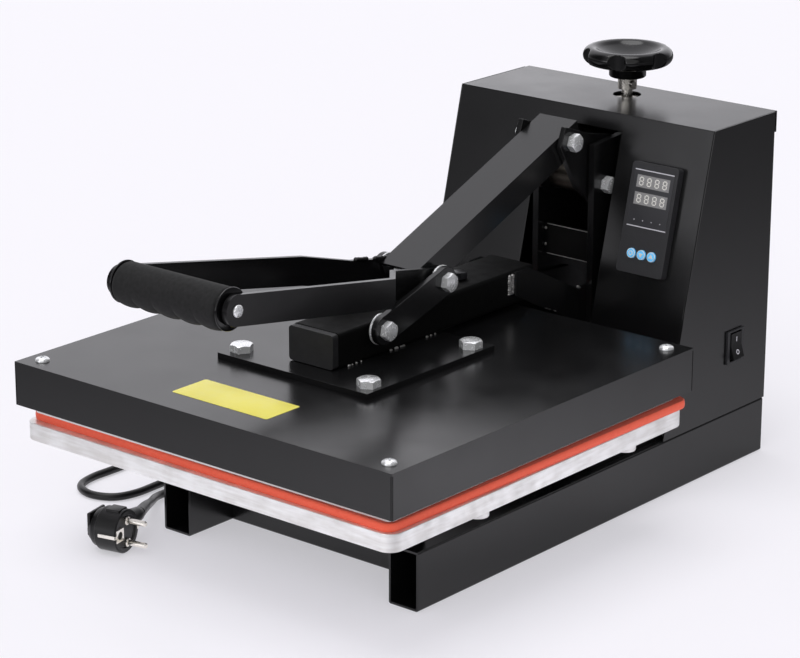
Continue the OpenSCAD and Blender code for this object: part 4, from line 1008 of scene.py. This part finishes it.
# Mounting plate
# A square steel plate welded under the beam and bolted through the cover into the heat platen
# with four zinc-plated hex bolts.
dress("mounting_plate", paint, 0.7)
bolts_at = middle_of("mounting_bolts")[0]
BOLT_DX = 68
BOLT_DY = 64
PLATE_HEAD = 6.4
bolt_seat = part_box("mounting_plate")[1].z
bm = bmesh.new()
for sx in (-1, 1):
    for sy in (-1, 1):
        spot = (bolts_at.x + sx * BOLT_DX * MM, bolts_at.y + sy * BOLT_DY * MM, bolt_seat)
        seat = Matrix.Translation(spot)
        turned = spin(radians(12) + 0.3 * sx + 0.5 * sy, "Z")
        hex_head(bm, seat @ turned, across=17, height=PLATE_HEAD)
        threaded_rod(bm, seat @ spin(pi, "X"), radius=5, start=-1, end=30, pitch=PITCH_M10)
mounting_bolts = finish_piece("mounting_hex_bolts", bm, zinc, "arm")
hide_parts("mounting_bolts")

# Heat platen and cover
# A machined aluminium plate with a tubular heater under a blanket of mineral wool, closed by a
# folded steel cover that is held by four cross-head screws.

# Milled aluminium: pale metal with fine cutter marks across it, whitened by a film of oxide.
milled = material(
    "milled_aluminium", {"Metallic": 0.2}, ("#e9e7e5", "#f7f5f3", 25, 4),
    (0.26, 0.42, 3, 3, (0.1, 2, 2)),
)
dress("heat_platen", milled, 0.6)

# Nickel alloy sheath: a dark straw grey from its first heating.
sheath = material("heated_alloy_sheath", {"Metallic": 1.0}, ("#5c564c", "#7d7568", 20), (0.4, 0.55, 4))
dress("heater", sheath)

# Mineral wool: a dusty cream felt of short fibres, with a soft uneven skin.
wool = material(
    "mineral_wool", {"Sheen Weight": 0.3}, ("#b9ad88", "#dcd3b4", 5, 8, (1, 3, 1)),
    (0.85, 0.98, 4), (0.4, 0.8, 1.5, 8, (1, 4, 1)),
)
wool_blanket = bpy.data.objects.new("wool_blanket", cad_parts["insulation"].data.copy())
bpy.context.collection.objects.link(wool_blanket)
wool_blanket.data.materials.clear()
wool_blanket.data.materials.append(wool)
felt = wool_blanket.modifiers.new("felt", "REMESH")
felt.mode = "VOXEL"
felt.voxel_size = 4.5 * MM
felt.use_smooth_shade = True
tufts = bpy.data.textures.new("tufts", "CLOUDS")
tufts.noise_scale = 14 * MM
uneven = wool_blanket.modifiers.new("uneven", "DISPLACE")
uneven.texture = tufts
uneven.strength = 1.6 * MM
uneven.mid_level = 0.9
uneven.texture_coords = "LOCAL"
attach(wool_blanket, "arm")
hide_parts("insulation")

dress("cover", paint, 1.2)
# The folded sides meet at each corner in an open seam. A dark strip in the darker coat paints the shade
# inside it.
SEAM_OUT = 0.4
SEAM_HALF = 0.9
SEAM_DEPTH = 2
cover_low, cover_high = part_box("cover")
bm = bmesh.new()
for k, spot in enumerate(((cover_high.x, cover_high.y), (cover_low.x, cover_high.y),
                          (cover_low.x, cover_low.y), (cover_high.x, cover_low.y))):
    corner = Matrix.Translation((*spot, cover_low.z)) @ spin(pi / 4 + k * pi / 2, "Z")
    block(bm, corner, (-SEAM_OUT - SEAM_DEPTH, -SEAM_HALF, 0.2),
          (-SEAM_OUT, SEAM_HALF, (cover_high.z - cover_low.z) / MM - 2))
finish_piece("cover_seam_shade", bm, shaded_coat, "arm")

SCREW_IN = 5
corners_at, corners_size = middle_of("cover_screws")
bm = bmesh.new()
for sx in (-1, 1):
    for sy in (-1, 1):
        spot = Vector((corners_at.x + sx * (corners_size[0] / 2 - SCREW_IN) * MM,
                       corners_at.y + sy * (corners_size[1] / 2 - SCREW_IN) * MM, cover_high.z))
        turned = spin(0.4 + sx + 0.6 * sy, "Z")
        cross_screw(bm, Matrix.Translation(spot) @ turned, radius=6, height=3.6, shank=12)
cover_screws = finish_piece("cover_cross_screws", bm, zinc, "arm")
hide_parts("cover_screws")

# Sticker
# A blank strip of yellow vinyl, 101 x 39 mm, stuck near the front edge of the cover.

# Vinyl film: an even lemon yellow with a soft sheen and slow waves in the film.
vinyl = material(
    "yellow_vinyl", {"IOR": 1.5}, ("#f6e95c", "#fbf174", 15),
    (0.34, 0.46, 8), (0.05, 0.4, 12, 2),
)
STICKER_Y = -236
STICKER_W = 101
STICKER_D = 39
bm = bmesh.new()
slab(bm, Matrix.Translation((0, STICKER_Y * MM, cover_high.z)), STICKER_W, STICKER_D, 2,
     [(0.01, 0), (0.2, 0), (0.26, 0.2)])
finish_piece("yellow_sticker", bm, vinyl, "arm")

# Links
# Two flat steel links with round ends, held off the beam and the handle by black spacers and thin
# bright washers, on a bolt through the beam and a bolt through the knee.
BAR_T = 5
dress("links", paint, 0.6)
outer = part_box("link_washers")[1].x / MM
SPACER_FOOT = {"link_bolt": BEAM_X + 0.3, "knee_bolt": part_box("lever_tube")[1].x / MM + BAR_T + 0.3}
WASHER_R = 13
WASHER_T = 1.8
WASHER_SOFT = 0.4
SPACER_R = 9
BORE = 5.2
inner = outer - WASHER_T
bm = bmesh.new()
spacers = bmesh.new()
for name, foot in SPACER_FOOT.items():
    at = middle_of(name)[0]
    for sx in (-1, 1):
        out = Matrix.Translation((0, at.y, at.z)) @ spin(sx * pi / 2, "Y")
        lathe(bm, [
            (BORE, inner), (WASHER_R - WASHER_SOFT, inner), (WASHER_R, inner + WASHER_SOFT),
            (WASHER_R, outer - WASHER_SOFT), (WASHER_R - WASHER_SOFT, outer), (BORE, outer),
        ], out, 64, ring=True)
        lathe(spacers, [(BORE, foot), (SPACER_R, foot), (SPACER_R, inner), (BORE, inner)], out, ring=True)
link_washers = finish_piece("flat_washers", bm, zinc, "link_pair")
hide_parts("link_washers")
# The spacers are drawn in the darker coat, as painted shade.
finish_piece("link_spacers", spacers, shaded_coat, "link_pair")
for name, body in (("link_bolt", "arm"), ("knee_bolt", "link_pair")):
    cross_bolt(name, 5, BOLT_AF, HEAD, NUT, body)

# Lever and handle
# A 40 x 25 mm box-section lever with two flat bars welded to its lower end, spread round the
# arm and joined in front by a steel rod in a foam sleeve.
dress("lever_tube", paint, 0.5)
# The bars' coat is thinner and duller than the rest.
dress("handle_bars", powder_coat("thin_powder_coat", 1.36), 0.7)
dress("grip_rod", zinc)

knee_at = middle_of("knee_bolt")[0] / MM
BAR_SLOPE = tan(radians(10.2))
WELD_X = -20.6
WELD_RISE = 10.6
bm = bmesh.new()
for y, length in ((-70, 16), (-46, 24)):
    ends = [(WELD_X, at, knee_at.z + WELD_RISE - (at - knee_at.y) * BAR_SLOPE) for at in (y, y + length)]
    weld_and_glint_bead(bm, ends, 4, y)
finish_piece("handle_welds", bm, paint, "handle", 60)

# Nitrile foam: a matt charcoal sleeve with a fine open grain, drawn here at about 0.8 mm.
foam = material(
    "nitrile_foam", {"IOR": 1.45, "Sheen Weight": 0.05}, ("#0a0a0b", "#151516", 0.8, 6),
    (0.82, 0.95, 3), (0.12, 0.6, 0.8, 6),
)
GRIP_AT = middle_of("grip_rod")[0] / MM
DISC_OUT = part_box("grip_discs")[1].x / MM
DISC_R = 17.0
DISC_T = 2
FOAM_HALF = DISC_OUT - DISC_T
FOAM_R = 17.3
FOAM_SHIFT = 1.0
FOAM_BORE = 6.1
FOAM_EDGE = 3.0
LOBES = 5
GROOVE = 4.0
LOBE_WAY = radians(272)
STATIONS = 140
TURNS = 72


def foam_radius(x, angle):
    """Radius of the sleeve: round, a little heavier below, with five finger lobes there."""
    below = max(0.0, cos(angle - LOBE_WAY))
    along = (x + FOAM_HALF) / (2 * FOAM_HALF) * LOBES % 1 * 2 - 1
    groove = 1 - sqrt(1 - 0.97 * along ** 2)
    r = FOAM_R + FOAM_SHIFT * cos(angle - LOBE_WAY) - GROOVE * below ** 1.5 * groove
    inset = max(0.0, FOAM_EDGE - (FOAM_HALF - abs(x)))
    return r - FOAM_EDGE + sqrt(max(0.0, FOAM_EDGE ** 2 - inset ** 2))


bm = bmesh.new()
rows = [[(-FOAM_HALF, FOAM_BORE)] * TURNS]
for i in range(STATIONS + 1):
    x = FOAM_HALF * (2 * i / STATIONS - 1)
    rows.append([(x, foam_radius(x, 2 * pi * k / TURNS)) for k in range(TURNS)])
rows.append([(FOAM_HALF, FOAM_BORE)] * TURNS)
rings = []
for row in rows:
    rings.append([bm.verts.new(Vector((x, GRIP_AT.y + r * cos(2 * pi * k / TURNS),
                                       GRIP_AT.z + r * sin(2 * pi * k / TURNS))) * MM)
                  for k, (x, r) in enumerate(row)])
for low, high in zip(rings, rings[1:] + rings[:1]):
    for k in range(TURNS):
        n = (k + 1) % TURNS
        bm.faces.new((low[k], low[n], high[n], high[k]))
foam_sleeve = finish_piece("foam_sleeve", bm, foam, "handle", 60)
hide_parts("foam_grip")

bm = bmesh.new()
for sx in (-1, 1):
    out = shift(0, GRIP_AT.y, GRIP_AT.z) @ spin(sx * pi / 2, "Y")
    rim = [(DISC_R - DISC_T / 2 * (1 - cos(a)), FOAM_HALF + DISC_T / 2 * (1 + sin(a)))
           for a in [pi * (k / 6 - 0.5) for k in range(7)]]
    lathe(bm, [(FOAM_BORE, FOAM_HALF)] + rim + [(FOAM_BORE, DISC_OUT)], out, TURNS, ring=True)
end_discs = finish_piece("end_discs", bm, phenolic, "handle")
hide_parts("grip_discs")

PAN = 3.0
screw_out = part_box("grip_screws")[1].x / MM
bm = bmesh.new()
for sx in (-1, 1):
    out = shift(sx * (screw_out - PAN), GRIP_AT.y, GRIP_AT.z) @ spin(sx * pi / 2, "Y") @ spin(0.7, "Z")
    cross_screw(bm, out, radius=5, height=PAN, shank=16)
grip_screws = finish_piece("grip_cross_screws", bm, zinc, "handle")
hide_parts("grip_screws")
